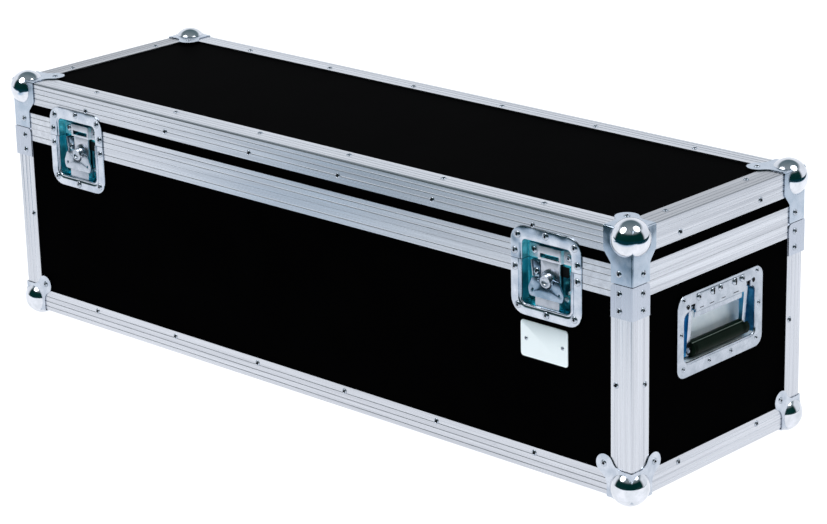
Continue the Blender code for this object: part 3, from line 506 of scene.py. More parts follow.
class ShaderGroups:
    """Node groups built once and placed in each finish with its own values."""

    def __init__(self) -> None:
        """Build every group."""
        self.drawn = self.drawn_metal()
        self.mottle = self.plated_mottle()
        self.marks = self.handling_marks()

    @staticmethod
    def start(name: str, inputs: str,
              outputs: str) -> tuple[Net, bpy.types.NodeOutputs, bpy.types.NodeInputs]:
        """Make a group that takes a Vector and values.

        Args:
            name: the group's name.
            inputs: the labels of the values that it takes, with commas between them.
            outputs: the labels of the values that it gives.

        Returns:
            Its net, the sockets that bring what it takes and the sockets that take what it gives.
        """
        tree = bpy.data.node_groups.new(name, "ShaderNodeTree")
        tree.interface.new_socket("Vector", in_out="INPUT", socket_type="NodeSocketVector")
        for way, labels in (("INPUT", inputs), ("OUTPUT", outputs)):
            for label in labels.split(","):
                tree.interface.new_socket(label, in_out=way, socket_type="NodeSocketFloat")
        source, sink = tree.nodes.new("NodeGroupInput"), tree.nodes.new("NodeGroupOutput")
        return Net(tree), source.outputs, sink.inputs

    def drawn_metal(self) -> Tree:
        """Drawn metal: fine lines and broader streaks that run along the mapped X axis.

        Returns:
            The group.
        """
        net, given, out = self.start("drawn_metal", "Streaks", "Lines,Tone")
        fine = net.noise(given["Vector"], 1.0, 3.0, 0.6)
        wide = net.node("Mapping", Vector=given["Vector"], Scale=(0.35, 0.12, 0.12))
        broad = net.noise(wide.outputs["Vector"], 1.0, 2.0)
        mix = net.node("Mix", data_type="FLOAT", Factor=given["Streaks"], A=fine, B=broad)
        net.feed(out["Lines"], fine)
        net.feed(out["Tone"], mix.outputs["Result"])
        return net.tree

    def plated_mottle(self) -> Tree:
        """Plated metal: a soft cloudy tone with a fine grain.

        Returns:
            The group.
        """
        net, given, out = self.start("plated_mottle", "Cloud Scale,Grain Scale", "Cloud,Grain")
        net.feed(out["Cloud"], net.noise(given["Vector"], given["Cloud Scale"], 3.0, 0.55))
        net.feed(out["Grain"], net.noise(given["Vector"], given["Grain Scale"], 2.0, 0.6))
        return net.tree

    def handling_marks(self) -> Tree:
        """Handling marks: sparse short rubs left by use.

        Returns:
            The group.
        """
        net, given, out = self.start("handling_marks", "Scale,Threshold", "Marks")
        stretch = net.node("Mapping", Vector=given["Vector"], Rotation=(0.4, 0.9, 0.3), Scale=(1.0, 6.0, 6.0))
        rub = net.noise(stretch.outputs["Vector"], given["Scale"], 4.0, 0.65)
        full = net.math("ADD", given["Threshold"], 0.12)
        net.feed(out["Marks"], net.levels(rub, 0.0, 1.0, (given["Threshold"], full)))
        return net.tree


class Grain(Enum):
    """The way that a profile's drawn lines run, as the turn that brings them to X."""

    ALONG_X = (0.0, 0.0, 0.0)
    ALONG_Y = (0.0, 0.0, -pi / 2)
    ALONG_Z = (0.0, pi / 2, 0.0)


@dataclass(frozen=True)
class Finish:
    """What every finish shares: a name and a way to start its material."""

    name: str

    def start(self) -> tuple[Material, Net, Socket]:
        """Make the material, its net and its coordinates.

        Returns:
            The three, in that order.
        """
        material = bpy.data.materials.new(self.name)
        material.use_nodes = True
        net = Net(material.node_tree)
        return material, net, net.node("TexCoord").outputs["Object"]


@dataclass(frozen=True)
class DrawnAluminium(Finish):
    """Mill-finish aluminium with the extrusion's lines along it."""

    grain: Grain
    dark: Colour = (0.48, 0.50, 0.55)
    light: Colour = (0.64, 0.665, 0.72)
    rubbed: Colour = (0.42, 0.44, 0.49)
    plated: Colour = (0.47, 0.51, 0.59)
    painted_top_shade: float = 1.0
    plated_beyond: tuple[float, float] | None = None

    def make(self, groups: ShaderGroups) -> Material:
        """Build the material from the shared groups: the brace stands proud, and upward faces get a painted
        shade.

        Args:
            groups: the shared groups.

        Returns:
            The material.
        """
        material, net, place = self.start()
        turn = net.node("Mapping", Vector=place, Rotation=self.grain.value)
        stretch = net.node("Mapping", Vector=turn.outputs["Vector"], Scale=(6.0, 1100.0, 1100.0))
        drawn = net.group(groups.drawn, Vector=stretch.outputs["Vector"], Streaks=0.45)
        marks = net.group(groups.marks, Vector=place, Scale=24.0, Threshold=0.7)
        tone = net.ramp(drawn["Tone"], self.dark, self.light, (0.34, 0.62))
        tone = net.blend(marks["Marks"], tone, self.rubbed)
        if self.plated_beyond:
            parts = net.parts(place)
            proud = [net.math("GREATER_THAN", net.math("ABSOLUTE", parts[axis]), limit)
                     for axis, limit in zip("XY", self.plated_beyond)]
            tone = net.blend(net.math("MAXIMUM", *proud), tone, self.plated)
        # Painted shade: faces that point up have their colour scaled by this factor, for how the light falls
        # on the top.
        if self.painted_top_shade != 1.0:
            up = net.parts(net.node("TexCoord").outputs["Normal"])["Z"]
            top_shade_gain = net.levels(up, 1.0, self.painted_top_shade, (0.6, 0.8))
            tone = net.node("VectorMath", operation="SCALE", Vector=tone, Scale=top_shade_gain).outputs["Vector"]
        net.shade(Base_Color=tone, Roughness=net.levels(drawn["Lines"], 0.34, 0.22), Metallic=1.0,
                  Normal=net.bump(drawn["Lines"], 0.25, 0.06))
        return material


@dataclass(frozen=True)
class Mottled(Finish):
    """A cloudy surface with a fine grain: plated steel, or laminate, rubber and enamel by its values."""

    dark: Colour
    light: Colour
    smooth: float
    rough: float
    waves: float = 0.0
    metal: float = 1.0
    gloss: float = 0.5
    scales: tuple[float, float] = (70.0, 1500.0)
    span: tuple[float, float] = (0.35, 0.65)
    rough_by: str = "Cloud"
    relief: tuple[float, float] = (0.12, 0.04)
    rubs: tuple[float, float] | None = (45.0, 0.68)
    rubbed: Colour | None = None

    def make(self, groups: ShaderGroups) -> Material:
        """Build the material from the shared groups.

        Args:
            groups: the shared groups.

        Returns:
            The material.
        """
        material, net, place = self.start()
        cloud, grain = self.scales
        mottle = net.group(groups.mottle, Vector=place, Cloud_Scale=cloud, Grain_Scale=grain)
        tone = net.ramp(mottle["Cloud"], self.dark, self.light, self.span)
        if self.rubs:
            marks = net.group(groups.marks, Vector=place, Scale=self.rubs[0], Threshold=self.rubs[1])
            tone = net.blend(marks["Marks"], tone, self.rubbed or scaled(self.dark, 0.85))
        under = {"Normal": net.bump(net.noise(place, 32.0, 1.0), 1.0, self.waves)} if self.waves else {}
        net.shade(Base_Color=tone, Metallic=self.metal, Specular_IOR_Level=self.gloss,
                  Roughness=net.levels(mottle[self.rough_by], self.smooth, self.rough),
                  Normal=net.bump(mottle["Grain"], *self.relief, **under))
        return material

    @classmethod
    def moulded(cls, name: str, colour: Colour, rough: float, gloss: float) -> Mottled:
        """Choose the values of matt rubber, or of a dark hollow."""
        return cls(name, colour, scaled(colour, 1.6), rough - 0.08, rough + 0.08, metal=0, gloss=gloss,
                   scales=(50, 1200), span=(0.3, 0.7), rough_by="Grain", relief=(0.25, 0.08), rubs=None)


class Palette:
    """Every finish of the case, built once."""

    def __init__(self, case: Case) -> None:
        """Build the shared groups and the materials.

        Args:
            case: tells where the corner posts' braces stand proud.
        """
        proud = ((case.half_length + 0.3) * MM, (case.half_width + 0.3) * MM)
        finishes: dict[str, Finish] = {
            "along_x": DrawnAluminium("drawn_aluminium_long", Grain.ALONG_X),
            # Painted shade: the short profiles' upward faces are darkened to 0.66 of their colour.
            "along_y": DrawnAluminium("drawn_aluminium_short", Grain.ALONG_Y, painted_top_shade=0.66),
            "along_z": DrawnAluminium("drawn_aluminium_posts", Grain.ALONG_Z, plated_beyond=proud),
            "laminate": Mottled("black_laminate", (0.0006, 0.0006, 0.0007), (0.0009, 0.0009, 0.00105), 0.42,
                                0.58, metal=0, gloss=0.0008, scales=(14, 2600), span=(0.3, 0.7),
                                rough_by="Grain", relief=(0.2, 0.05), rubs=(12, 0.72),
                                rubbed=(0.002, 0.002, 0.0022)),
            "zinc": Mottled("bright_zinc", (0.42, 0.47, 0.55), (0.58, 0.62, 0.69), 0.12, 0.22, 1.9),
            "brace": Mottled("brace_zinc", (0.36, 0.43, 0.52), (0.48, 0.54, 0.63), 0.16, 0.26, 0.8),
            "ball": Mottled("polished_zinc", (0.58, 0.61, 0.66), (0.72, 0.74, 0.80), 0.06, 0.12),
            # Painted shade and reflection: the teal of the latch recess's floor and walls stands for the
            # shade and the reflections inside it.
            "tinted": Mottled("painted_recess_shade", (0.015, 0.24, 0.32), (0.07, 0.46, 0.54), 0.16, 0.28, 1.0),
            "teal": Mottled("painted_recess_wall_shade", (0.04, 0.60, 0.72), (0.22, 0.90, 0.98), 0.34, 0.42, 1.0),
            # Painted shadow: the dark band in the groove below the latch's bottom rim.
            "stain": Mottled("painted_groove_shade", (0.03, 0.06, 0.07), (0.10, 0.16, 0.17), 0.3, 0.4),
            # Painted shade and reflection: the blue of the handle recess's side walls and of the bail arms'
            # sides.
            "blue": Mottled("painted_side_shade", (0.02, 0.22, 0.44), (0.14, 0.48, 0.72), 0.28, 0.4, 1.0),
            "satin": Mottled("satin_plate", (0.35, 0.39, 0.45), (0.48, 0.52, 0.59), 0.18, 0.3, 0.5),
            "matt": Mottled("matt_plate", (0.54, 0.57, 0.64), (0.68, 0.70, 0.77), 0.36, 0.46),
            "pan": Mottled("brushed_pan", (0.74, 0.83, 0.90), (0.84, 0.91, 0.96), 0.5, 0.6, metal=0.45),
            # Painted shade: a darker copy of the plate, for the right latch's wing and for the guide in its
            # recess.
            "wing": Mottled("painted_shade_plate", (0.18, 0.26, 0.35), (0.31, 0.39, 0.49), 0.16, 0.28, 0.4),
            "rubber": Mottled.moulded("grip_rubber", (0.002, 0.007, 0.004), 0.44, 0.03),
            # Painted highlight: the lighter, glossier rubber of the ridge along the grip's top.
            "worn": Mottled.moulded("painted_ridge_highlight", (0.10, 0.13, 0.11), 0.4, 0.3),
            # Painted shade: near black for the rivets' hollows, the gaps and screw slots on the handle's
            # bracket, and a patch on the latch's floor.
            "hollow": Mottled.moulded("painted_hollow_shade", (0.004, 0.005, 0.006), 0.6, 0.1),
            "plate": Mottled("pale_plate", scaled((0.82, 0.90, 0.93), 0.93), (0.82, 0.90, 0.93), 0.34, 0.44,
                             metal=0.7, scales=(22, 900), span=(0.3, 0.7), relief=(0.08, 0.03), rubs=None)}
        groups = ShaderGroups()
        self.made = {label: finish.make(groups) for label, finish in finishes.items()}


# Rivets

@dataclass(frozen=True)
class RivetKind:
    """A blind rivet: a domed head with a hollow where its mandrel broke off."""

    radius: float
    height: float
    hollow: float

    def mesh(self) -> bpy.types.Mesh:
        """Turn one rivet, standing on w = 0, with its hollow in the second material slot.

        Returns:
            The mesh that its copies come from.
        """
        r, h, bore = self.radius, self.height, self.hollow
        # The hollow's faces take the near-black finish, a painted shade of the deep hole.
        return baked(turned([(0, -0.1), (r, -0.1), (r, 0.15 * h), (0.86 * r, 0.62 * h), (0.6 * r, 0.92 * h),
                             (1.2 * bore, h), (bore, 0.75 * h), (0.9 * bore, 0.1 * h), (0, 0.1 * h)],
                            14, bore), "rivet")


class RivetRow:
    """Rivets of one kind gathered into one piece on one body."""

    def __init__(self, name: str, body: str, kind: RivetKind, seed: int) -> None:
        """Start an empty row.

        Args:
            name: the piece's name.
            body: the body that carries it.
            kind: the sort of rivet.
            seed: sets how each head leans.
        """
        self.name = name
        self.body = body
        self.pattern = kind.mesh()
        self.chance = random.Random(seed)
        self.bm = bmesh.new()

    def put(self, place: Matrix, u: float, v: float, w: float = 0) -> None:
        """Set a rivet on a face.

        Args:
            place: the face's frame.
            u: how far to the right in it.
            v: how far up.
            w: the level that its head sits on.
        """
        lean = Matrix.Rotation(self.chance.uniform(-0.05, 0.05), 4, "X")
        lean = lean @ Matrix.Rotation(self.chance.uniform(-0.05, 0.05), 4, "Y")
        spin = Matrix.Rotation(self.chance.uniform(0, pi), 4, "Z")
        copy = self.pattern.copy()
        copy.transform(place @ shift(u, v, w) @ lean @ spin)
        self.bm.from_mesh(copy)
        bpy.data.meshes.remove(copy)

    def pairs(self, place: Matrix, *spots: tuple[float, float, float]) -> None:
        """Set rivets at the same places on the left and on the right of a face.

        Args:
            place: the face's frame.
            *spots: u, v and w of each, on the right.
        """
        for side in SIDES:
            for u, v, w in spots:
                self.put(place, side * u, v, w)


# Sub-assemblies

@dataclass
class Fitting:
    """A sub-assembly: it knows the case's sizes and the finishes, and makes pieces."""

    case: Case
    palette: Palette

    def make(self, name: str, bm: Mesh, body: str, slot: str, finishes: str, place: Matrix = HERE,
             solid: str = "", smooth: float = 40) -> None:
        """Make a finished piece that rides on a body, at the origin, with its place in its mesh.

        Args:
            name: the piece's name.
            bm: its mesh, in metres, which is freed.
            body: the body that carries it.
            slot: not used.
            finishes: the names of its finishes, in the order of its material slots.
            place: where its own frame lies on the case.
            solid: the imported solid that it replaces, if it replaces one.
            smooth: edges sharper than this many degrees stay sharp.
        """
        mesh = baked(bm, name, place)
        for label in finishes.split():
            mesh.materials.append(self.palette.made[label])
        mesh.shade_smooth()
        mesh.set_sharp_from_angle(angle=radians(smooth))
        item = linked(name, mesh)
        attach(item, body)
        if solid:
            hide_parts(solid)
        LOG.info("%s: %d faces on %s", name, len(mesh.polygons), body)

    def fasten(self, *rows: RivetRow) -> None:
        """Make each row of rivets one piece.

        Args:
            *rows: the filled rows.
        """
        for row in rows:
            bpy.data.meshes.remove(row.pattern)
            self.make(row.name, row.bm, row.body, "zinc", "satin hollow", smooth=50)


@dataclass
class Shell(Fitting):
    """Panels and profiles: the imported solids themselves, dressed, and the rivets that hold them."""

    pitch: float = 150.0
    rivet: RivetKind = RivetKind(3.8, 1.1, 1.9)
    long_gap: float = 143.5
    short_gap: float = 85.0
    row_depth: float = 21.0
    post_depth: float = 23.0

    def dress(self, nodes: dict[str, bpy.types.Object]) -> None:
        """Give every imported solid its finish, by its name.

        Args:
            nodes: the solids by their names.
        """
        for name, solid in nodes.items():
            solid.data.materials.clear()
            solid.data.materials.append(self.palette.made[self.finish_of(name)])

    @staticmethod
    def finish_of(name: str) -> str:
        """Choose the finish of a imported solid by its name.

        Args:
            name: the solid's name.

        Returns:
            The finish's name.
        """
        if name.endswith("panel"):
            return "laminate"
        if name.startswith("corner_post"):
            return "along_z"
        if "edge" in name or "closing" in name:
            return "along_y" if name.endswith(("left", "right")) else "along_x"
        return "rubber" if name.endswith("grip") else "zinc"

    def stations(self, half: float, gap: float) -> list[float]:
        """Spread rivets along a profile.

        Args:
            half: half the profile's length.
            gap: how far the first rivet stands from the end.

        Returns:
            The places along it, from its middle.
        """
        span = 2 * (half - gap)
        count = max(round(span / self.pitch), 1)
        return [gap - half + span * step / count for step in range(count + 1)]

    def build(self) -> None:
        """Rivet the profiles to the panels."""
        case, depth = self.case, self.row_depth
        base = RivetRow("base_profile_rivets", "base", self.rivet, 11)
        lid = RivetRow("lid_profile_rivets", "lid", self.rivet, 12)
        long, short = (case.half_length, self.long_gap), (case.half_width, self.short_gap)
        for face, (half, gap) in {Face.FRONT: long, Face.BACK: long, Face.RIGHT: short,
                                  Face.LEFT: short}.items():
            place = case.frame(face)
            for u in self.stations(half, gap):
                base.put(place, u, depth + 2)
                lid.put(place, u, case.height - depth)
            base.pairs(place, (half - self.post_depth, case.seam / 2 + 8, 0))
        for row, face in ((lid, Face.TOP), (base, Face.BOTTOM)):
            place = case.frame(face)
            for side in SIDES:
                for u in self.stations(*long):
                    row.put(place, u, side * (case.half_width - depth))
                for v in self.stations(*short):
                    row.put(place, side * (case.half_length - depth), v)
        self.fasten(base, lid)


@dataclass
class BallCorners(Fitting):
    """Pressed ball corners of the base and the lid, with the braces at the seam."""

    ball_radius: float = 23.0
    ball_inset: float = 12.9
    sheet: float = 1.2
    outer: float = 1.5
    bend: float = 2.4
    fillet: float = 1.6
    hollow: float = 14.0
    buried: float = 0.4
    base_spot: tuple[float, float] = (39.2, 38.8)
    lid_spot: tuple[float, float] = (18.0, 52.0)
    brace_in: float = 17.5
    brace_down: tuple[float, float] = (75.0, 95.0)
    flat_in: float = 39.0
    rivet: RivetKind = RivetKind(4.2, 1.3, 1.6)

    def casting(self, flanges: list[Mesh]) -> Mesh:
        """Press a corner: flanges that share its edges, which are bent, its ball and three root fillets.

        Args:
            flanges: the flat flanges of the XY, XZ and YZ faces, each drawn from the corner.

        Returns:
            The closed pressing in the corner's own frame, with its ball in the second material slot.
        """
        bm = bmesh.new()
        for flange, turn, out in zip(flanges, (HERE, ON_XZ, ON_YZ), (W, V, U)):
            bmesh.ops.transform(flange, matrix=shift(*(out * -self.outer)) @ turn, verts=flange.verts)
            add(bm, flange)
        bmesh.ops.remove_doubles(bm, verts=bm.verts, dist=1e-5)
        outward(bm)
        if max(bm.faces, key=lambda item: item.calc_area()).normal.dot(U + V + W) > 0:
            bmesh.ops.reverse_faces(bm, faces=bm.faces[:])
        soften(bm, sharp(bm, 60), self.bend, 5)
        walled(bm, self.sheet)
        add(bm, self.dome(), material=1)
        for rows in (((1, 0, 0), (0, 1, 0), (0, 0, -1)), ((1, 0, 0), (0, 0, -1), (0, 1, 0)),
                     ((0, 0, -1), (1, 0, 0), (0, 1, 0))):
            add(bm, self.root(), Matrix(rows).to_4x4())
        return bm

    def dome(self) -> Mesh:
        """Press the ball: the part of a hollow sphere that stands out of the corner.

        Returns:
            The closed shell.
        """
        bm = bmesh.new()
        tilt = Vector((-1, -1, -1)).to_track_quat("Z", "Y").to_matrix().to_4x4()
        centre = shift(self.ball_inset, self.ball_inset, self.ball_inset)
        bmesh.ops.create_uvsphere(bm, u_segments=64, v_segments=32, radius=self.ball_radius * MM,
                                  matrix=centre @ tilt)
        for normal in (U, V, W):
            cut(bm, normal * -self.buried, normal)
        hidden = [item for item in bm.faces if min(item.calc_center_median()) > -self.buried * MM]
        bmesh.ops.delete(bm, geom=hidden, context="FACES")
        return walled(bm, self.sheet)

    def root(self) -> Mesh:
        """Turn the fillet at the ball's root on one face, cut off at the case's edges.

        Returns:
            The closed fillet.
        """
        outer, swept = self.outer, self.ball_radius + self.fillet
        lift = self.ball_inset + outer + self.fillet
        ring = sqrt(swept ** 2 - lift ** 2)
        share, sag = self.ball_radius / swept, 0.22 * self.fillet
        top = (ring * share, lift * share - self.ball_inset)
        middle = ((ring + top[0]) / 2 - sag, (outer + top[1]) / 2 - sag)
        bm = turned([(top[0] - 0.5, outer - 0.5), (ring, outer - 0.5), (ring, outer + 0.02), middle, top], 64,
                    closed=True)
        bmesh.ops.translate(bm, verts=bm.verts, vec=(U + V) * self.ball_inset * MM)
        for normal in (U, V):
            cut(bm, normal * -outer, normal, 1)
            bmesh.ops.holes_fill(bm, edges=rim(bm))
        return outward(bm)

    def lobed(self, reach: float, centre: float, lobe: float) -> Mesh:
        """Cut a flange with a round lobe towards the panel, between two hollow fillets.

        Args:
            reach: how far it runs along the case's edges.
            centre: how far the lobe's middle stands from both edges.
            lobe: the lobe's radius.

        Returns:
            The flat flange.
        """
        far, edge = reach + self.hollow, -self.outer
        span = sqrt((self.hollow + lobe) ** 2 - (far - centre) ** 2)
        lean = degrees(atan2(span, far - centre))
        bm = blank([(edge, edge), (reach, edge), *arc(far, centre - span, self.hollow, 180, -lean),
                    *arc(centre, centre, lobe, -lean, 90 + 2 * lean, 18)[1:-1],
                    *arc(centre - span, far, self.hollow, 270 + lean, -lean), (edge, reach)])
        bmesh.ops.delete(bm, geom=bm.faces[:], context="FACES_ONLY")
        fill(bm, bm.edges[:])
        return bm

    @staticmethod
    def inner_angle(drop: float) -> Mesh:
        """Cut the short corner profile that fills the lid between its edge and closing profiles.

        Args:
            drop: how far the brace's leg runs down.

        Returns:
            The closed profile.
        """
        half = [(28.6, 0.2), (28.6, 1.5), (10.6, 1.5), (10.6, 9.1), (24, 9.1), (24, 10.6), (10.6, 10.6),
                (10.6, 24), (9.1, 24), (9.1, 10.6), (1.5, 10.6), (1.5, 28.6), (0.2, 28.6)]
        return thicken(blank([(0.2, 0.2), *half]), 30.3, drop - 20.8, 0)

    def build(self) -> None:
        """Make the eight corners and their rivets, and rivet the braces at the seam."""
        case, edge = self.case, -self.outer
        base = RivetRow("base_corner_rivets", "base", self.rivet, 21)
        lid = RivetRow("lid_corner_rivets", "lid", self.rivet, 22)
        drop = case.height - case.seam - 0.5
        leg = [(edge, edge), (40, edge), (40, 27, 3), (29, 41, 3), (29, drop), (edge, drop)]
        for name, (x, y) in {"fl": (-1, -1), "fr": (1, -1), "bl": (-1, 1), "br": (1, 1)}.items():
            bottom = self.casting([self.lobed(35, 38, 12.3) for _ in range(3)])
            upper = self.casting([self.lobed(40, 38, 14), blank(leg, segments=5), blank(leg, segments=5)])
            add(upper, self.inner_angle(drop))
            for top, bm, body, part, finish in ((0, bottom, "base", "bottom", "zinc"),
                                                (1, upper, "lid", "lid", "brace")):
                spot = shift(x * case.half_length, y * case.half_width, case.bottom + top * case.height)
                self.make(f"{part}_corner_{name}", bm, body, "zinc", f"{finish} ball",
                          spot @ Matrix.Diagonal((-x, -y, 1 - 2 * top, 1)), f"{part}_ball_{name}", 38)
            for face, half, sign in ((Face.RIGHT if x > 0 else Face.LEFT, case.half_width, y * x),
                                     (Face.BACK if y > 0 else Face.FRONT, case.half_length, -x * y)):
                place = case.frame(face)
                base.put(place, sign * (half - self.base_spot[0]), self.base_spot[1], self.outer)
                lid.put(place, sign * (half - self.lid_spot[0]), case.height - self.lid_spot[1], self.outer)
                for down in self.brace_down:
                    base.put(place, sign * (half - self.brace_in), case.height - down, self.outer)
            along, across = x * (case.half_length - self.flat_in), y * (case.half_width - self.flat_in)
            lid.put(case.frame(Face.TOP), along, across, self.outer)
            base.put(case.frame(Face.BOTTOM), along, -across, self.outer)
        self.fasten(base, lid)


@dataclass
class Latch(Fitting):
    """A recessed butterfly latch: two dish halves, the keeper's bridge, the post and the wing."""

    side: str
    middle: float
    half: float = 52.0
    above: float = 40.0
    below: float = -66.0
    tray_half: float = 36.0
    tray_above: float = 24.0
    tray_below: float = -51.8
    depth: float = 10.5
    guide_level: float = -6.6
    face: float = 1.5
    feet: float = -8.7
    pivot: float = -19.0
    wing_level: float = 0.6
    rivet: RivetKind = RivetKind(4.7, 1.6, 1.45)

    def pan(self, bead: bool) -> Mesh:
        """Press the whole dish, with a bead round its rim inside a groove, or with a plain rim.

        Args:
            bead: True for the bead and its groove.

        Returns:
            The closed pressing.
        """
        tray = Ring(self.tray_half, self.tray_below, self.tray_above, 6.0)
        flange = Ring(self.half, self.below, self.above, 19.0)
        floor = -self.depth
        edge = (((5.2, 1.5), (4.4, 0.75), (3.2, 0.65), (2.3, 1.65), (1.5, 1.95), (0.7, 1.7), (0.15, 0.9),
                 (0, -0.4)) if bead else
                ((4.4, 1.5), (2.4, 1.38), (1.2, 1.0), (0.4, 0.3), (0.1, -0.4), (0, -1.4)))
        return pressed(tray.steps((1.0, floor - 1.2), (1.2, floor), (1.2, 0.3))
                       + flange.steps((0, 0.3), (0, 0.95), (-0.35, 1.25), (-0.9, 1.31), (-3.2, 1.4),
                                      (-6.4, 1.5))
                       + tray.steps(*edge, (-0.3, floor + 1.6), (-0.9, floor + 0.5), (-2.2, floor)))

    def dish(self, upper: bool) -> Mesh:
        """Cut the lid's or the base's half of the dish at the seam, and paint shade into its recess and its
        groove.

        Args:
            upper: True for the lid's half.

        Returns:
            The closed half.
        """
        bm = self.pan(not upper)
        side = 1 if upper else -1
        cut(bm, V * side * SEAM_GAP, V, side)
        fill(bm, rim(bm), V)
        for item in outward(bm).faces:
            spot = item.calc_center_median() / MM
            # Painted shade and reflection: the recess's floor and walls take the teal finishes.
            if spot.z < -0.5:
                item.material_index = 2 if abs(item.normal.x) > 0.7 else 1
            # Painted shadow: the faces of the groove below the bottom rim take the dark groove finish.
            elif not upper and 0.5 < spot.z < 1.3 and 2.2 < self.tray_below - spot.y < 5.4:
                item.material_index = 3
        return bm

    def furnish(self, bm: Mesh) -> None:
        """Add the pad that the wing folds back on, the guide in a painted shade and its edge, a dark sheet
        that paints a patch of shade on the floor, and the studs.

        Args:
            bm: the base's half of the dish.
        """
        low, floor, guide = self.tray_below, -self.depth, self.guide_level
        for corners, back, face, edge, place, slot in (
                ([(low - 0.4, -10.9), (low + 13.5, -10.9), (low + 11, -0.9, 0.8), (low - 0.4, -0.9)],
                 -17.5, 17.5, 0.5, ON_YZ, 6),
                ([(-28.2, -0.8), (-25.4, -19.5), (-24.2, -19.5), (-27.0, -0.8)], floor - 0.3, -5.4, 0.2,
                 HERE, 6),
                # Painted shade: the guide takes the darker copy of the plate.
                ([(-27.4, -0.8), (-24.6, -19.5), (-14.8, -19.5, 2), (-14.8, -0.8)], floor - 0.2, guide, 0.3,
                 HERE, 5),
                # Painted shadow: a near-black sheet just above the floor, right of the draw plate.
                (rectangle(12, 25, -13.5, -0.9, 2), floor - 0.2, floor + 0.08, 0, HERE, 4)):
            add(bm, thicken(blank(corners), back, face, edge), place, slot)
        for profile, steps, u, v in (
                ([(0, -0.3), (3.2, -0.3), (3.2, 0.8), (2.2, 1.4), (1.5, 1.2), (0.9, 2.2), (0, 2.4)], 20, 21.5,
                 -39),
                ([(0, -0.3), (2.4, -0.3), (2.4, 3.2), (1.6, 4.4), (0, 4.8)], 16, 27.8, -29.5)):
            add(bm, turned(profile, steps), shift(u, v, floor), 6)

    def bridge(self) -> Mesh:
        """Fold the keeper's bridge from a strip with a window in it.

        Returns:
            The closed bridge.
        """
        half = [(-32.5, self.feet), (-18.6, self.feet), (-16.8, -5.0), (-13.8, -5.0)]
        path = half + [(-u, w) for u, w in reversed(half)]
        bm = bmesh.new()
        bmesh.ops.create_grid(bm, x_segments=7, y_segments=3, size=1)
        for index, point in enumerate(bm.verts):
            (u, w), v = path[index % 8], (2.5, 5.2, 10.4, 18.8)[index // 8]
            point.co = (u * MM, v * MM, w * MM)
        window = [item for item in bm.faces if abs(item.calc_center_median().x) < 5 * MM
                  and 5 * MM < item.calc_center_median().y < 11 * MM]
        bmesh.ops.delete(bm, geom=window, context="FACES")
        outward(bm)
        if bm.faces[:][0].normal.z < 0:
            bmesh.ops.reverse_faces(bm, faces=bm.faces[:])
        walled(bm, 1.5)
        soften(bm, sharp(bm, 50), 0.3)
        return bm

    def post(self) -> Mesh:
        """Turn the post: its hollow boss, the coils round it, the collar and the eccentric.

        Returns:
            The closed post.
        """
        coils: list[tuple[float, float]] = []
        level = 0.4
        while level > -4.0:
            coils += [(7.8, level), (8.1, level - 0.35), (7.8, level - 0.7), (7.3, level - 0.85)]
            level -= 1.1
        bm = turned([(0, 1.9), (3.2, 1.9), (4.0, 2.3), (4.6, 3.3), (5.4, 3.5), (7.0, 3.4), (7.8, 2.6),
                     *coils, (7.6, -4.4), (11.9, -5.4), (11.9, -6.4), (0, -6.4)], 36)
        eccentric = turned([(0, -6.2), (7.5, -6.2), (7.5, -8.8), (5.0, -8.8), (5.0, -10.2), (0, -10.2)], 32)
        add(bm, eccentric, shift(v=-3.5))
        return bm

    def wing(self) -> Mesh:
        """Cut the folding wing and add its ears and pin.

        Returns:
            The closed wing.
        """
        half = [(24, -21.5, 3), (26.5, -12, 3), (20, 2, 3), (8.5, 3.4, 0.6), (8.5, -9.4, 7)]
        outline = half + [(-u, v, setback) for u, v, setback in reversed(half)]
        bm = thicken(blank(outline, ((-19.5, -13, 1.5), (19.5, -13, 1.5))), -0.3, 1.5, 0.4)
        for side in SIDES:
            add(bm, rod(2.6, side * 8.6, side * 11.4, 0, self.wing_level, 20))
        add(bm, rod(1.3, -10.5, 10.5, 0, self.wing_level, 16))
        return bm

    def build(self) -> None:
        """Make the latch's pieces and rivets."""
        name, face = f"latch_{self.side}", self.face
        place = self.case.frame(Face.FRONT, self.middle, self.case.seam)
        pivot = place @ shift(v=self.pivot)
        base, lid = self.dish(False), self.dish(True)
        self.furnish(base)
        add(lid, self.bridge(), material=3)
        plate = thicken(blank(rectangle(-14.2, 14.2, -39.5, 3.5, 3, 2), [(0, -22.5, 11.4)]), -8.8, -6.8, 0.3)
        # Painted shade: the right latch's wing takes the darker copy of the plate and the left one the satin
        # plate, for how the light falls on each.
        wing = "wing" if self.side == "right" else "satin"
        for part, bm, body, finishes, spot, solid in (
                ("lower_dish", base, "base", "zinc tinted teal stain hollow wing matt", place, "dish"),
                ("upper_dish", lid, "lid", "zinc tinted teal matt", place, "keeper"),
                ("draw_plate", plate, f"{name}_hook", "matt", place, "hook"),
                ("boss", self.post(), f"{name}_post", "satin", pivot, "post"),
                ("butterfly", self.wing(), f"{name}_wing", wing, pivot, "wing")):
            self.make(f"{name}_{part}", bm, body, "zinc", finishes, spot, f"{name}_{solid}")
        upper = RivetRow(f"{name}_upper_rivets", "lid", self.rivet, 31)
        upper.pairs(place, (41.7, 28.6, face), (46.0, 9.0, face), (25.5, 11.0, self.feet))
        upper.put(place, 0, 34.0, face)
        lower = RivetRow(f"{name}_lower_rivets", "base", self.rivet, 32)
        lower.pairs(place, (45.8, -10.2, face), (41.5, -55.6, face))
        lower.put(place, 0, -59.8, face)
        lower.put(place, -20.0, -13.0, self.guide_level)
        self.fasten(upper, lower)


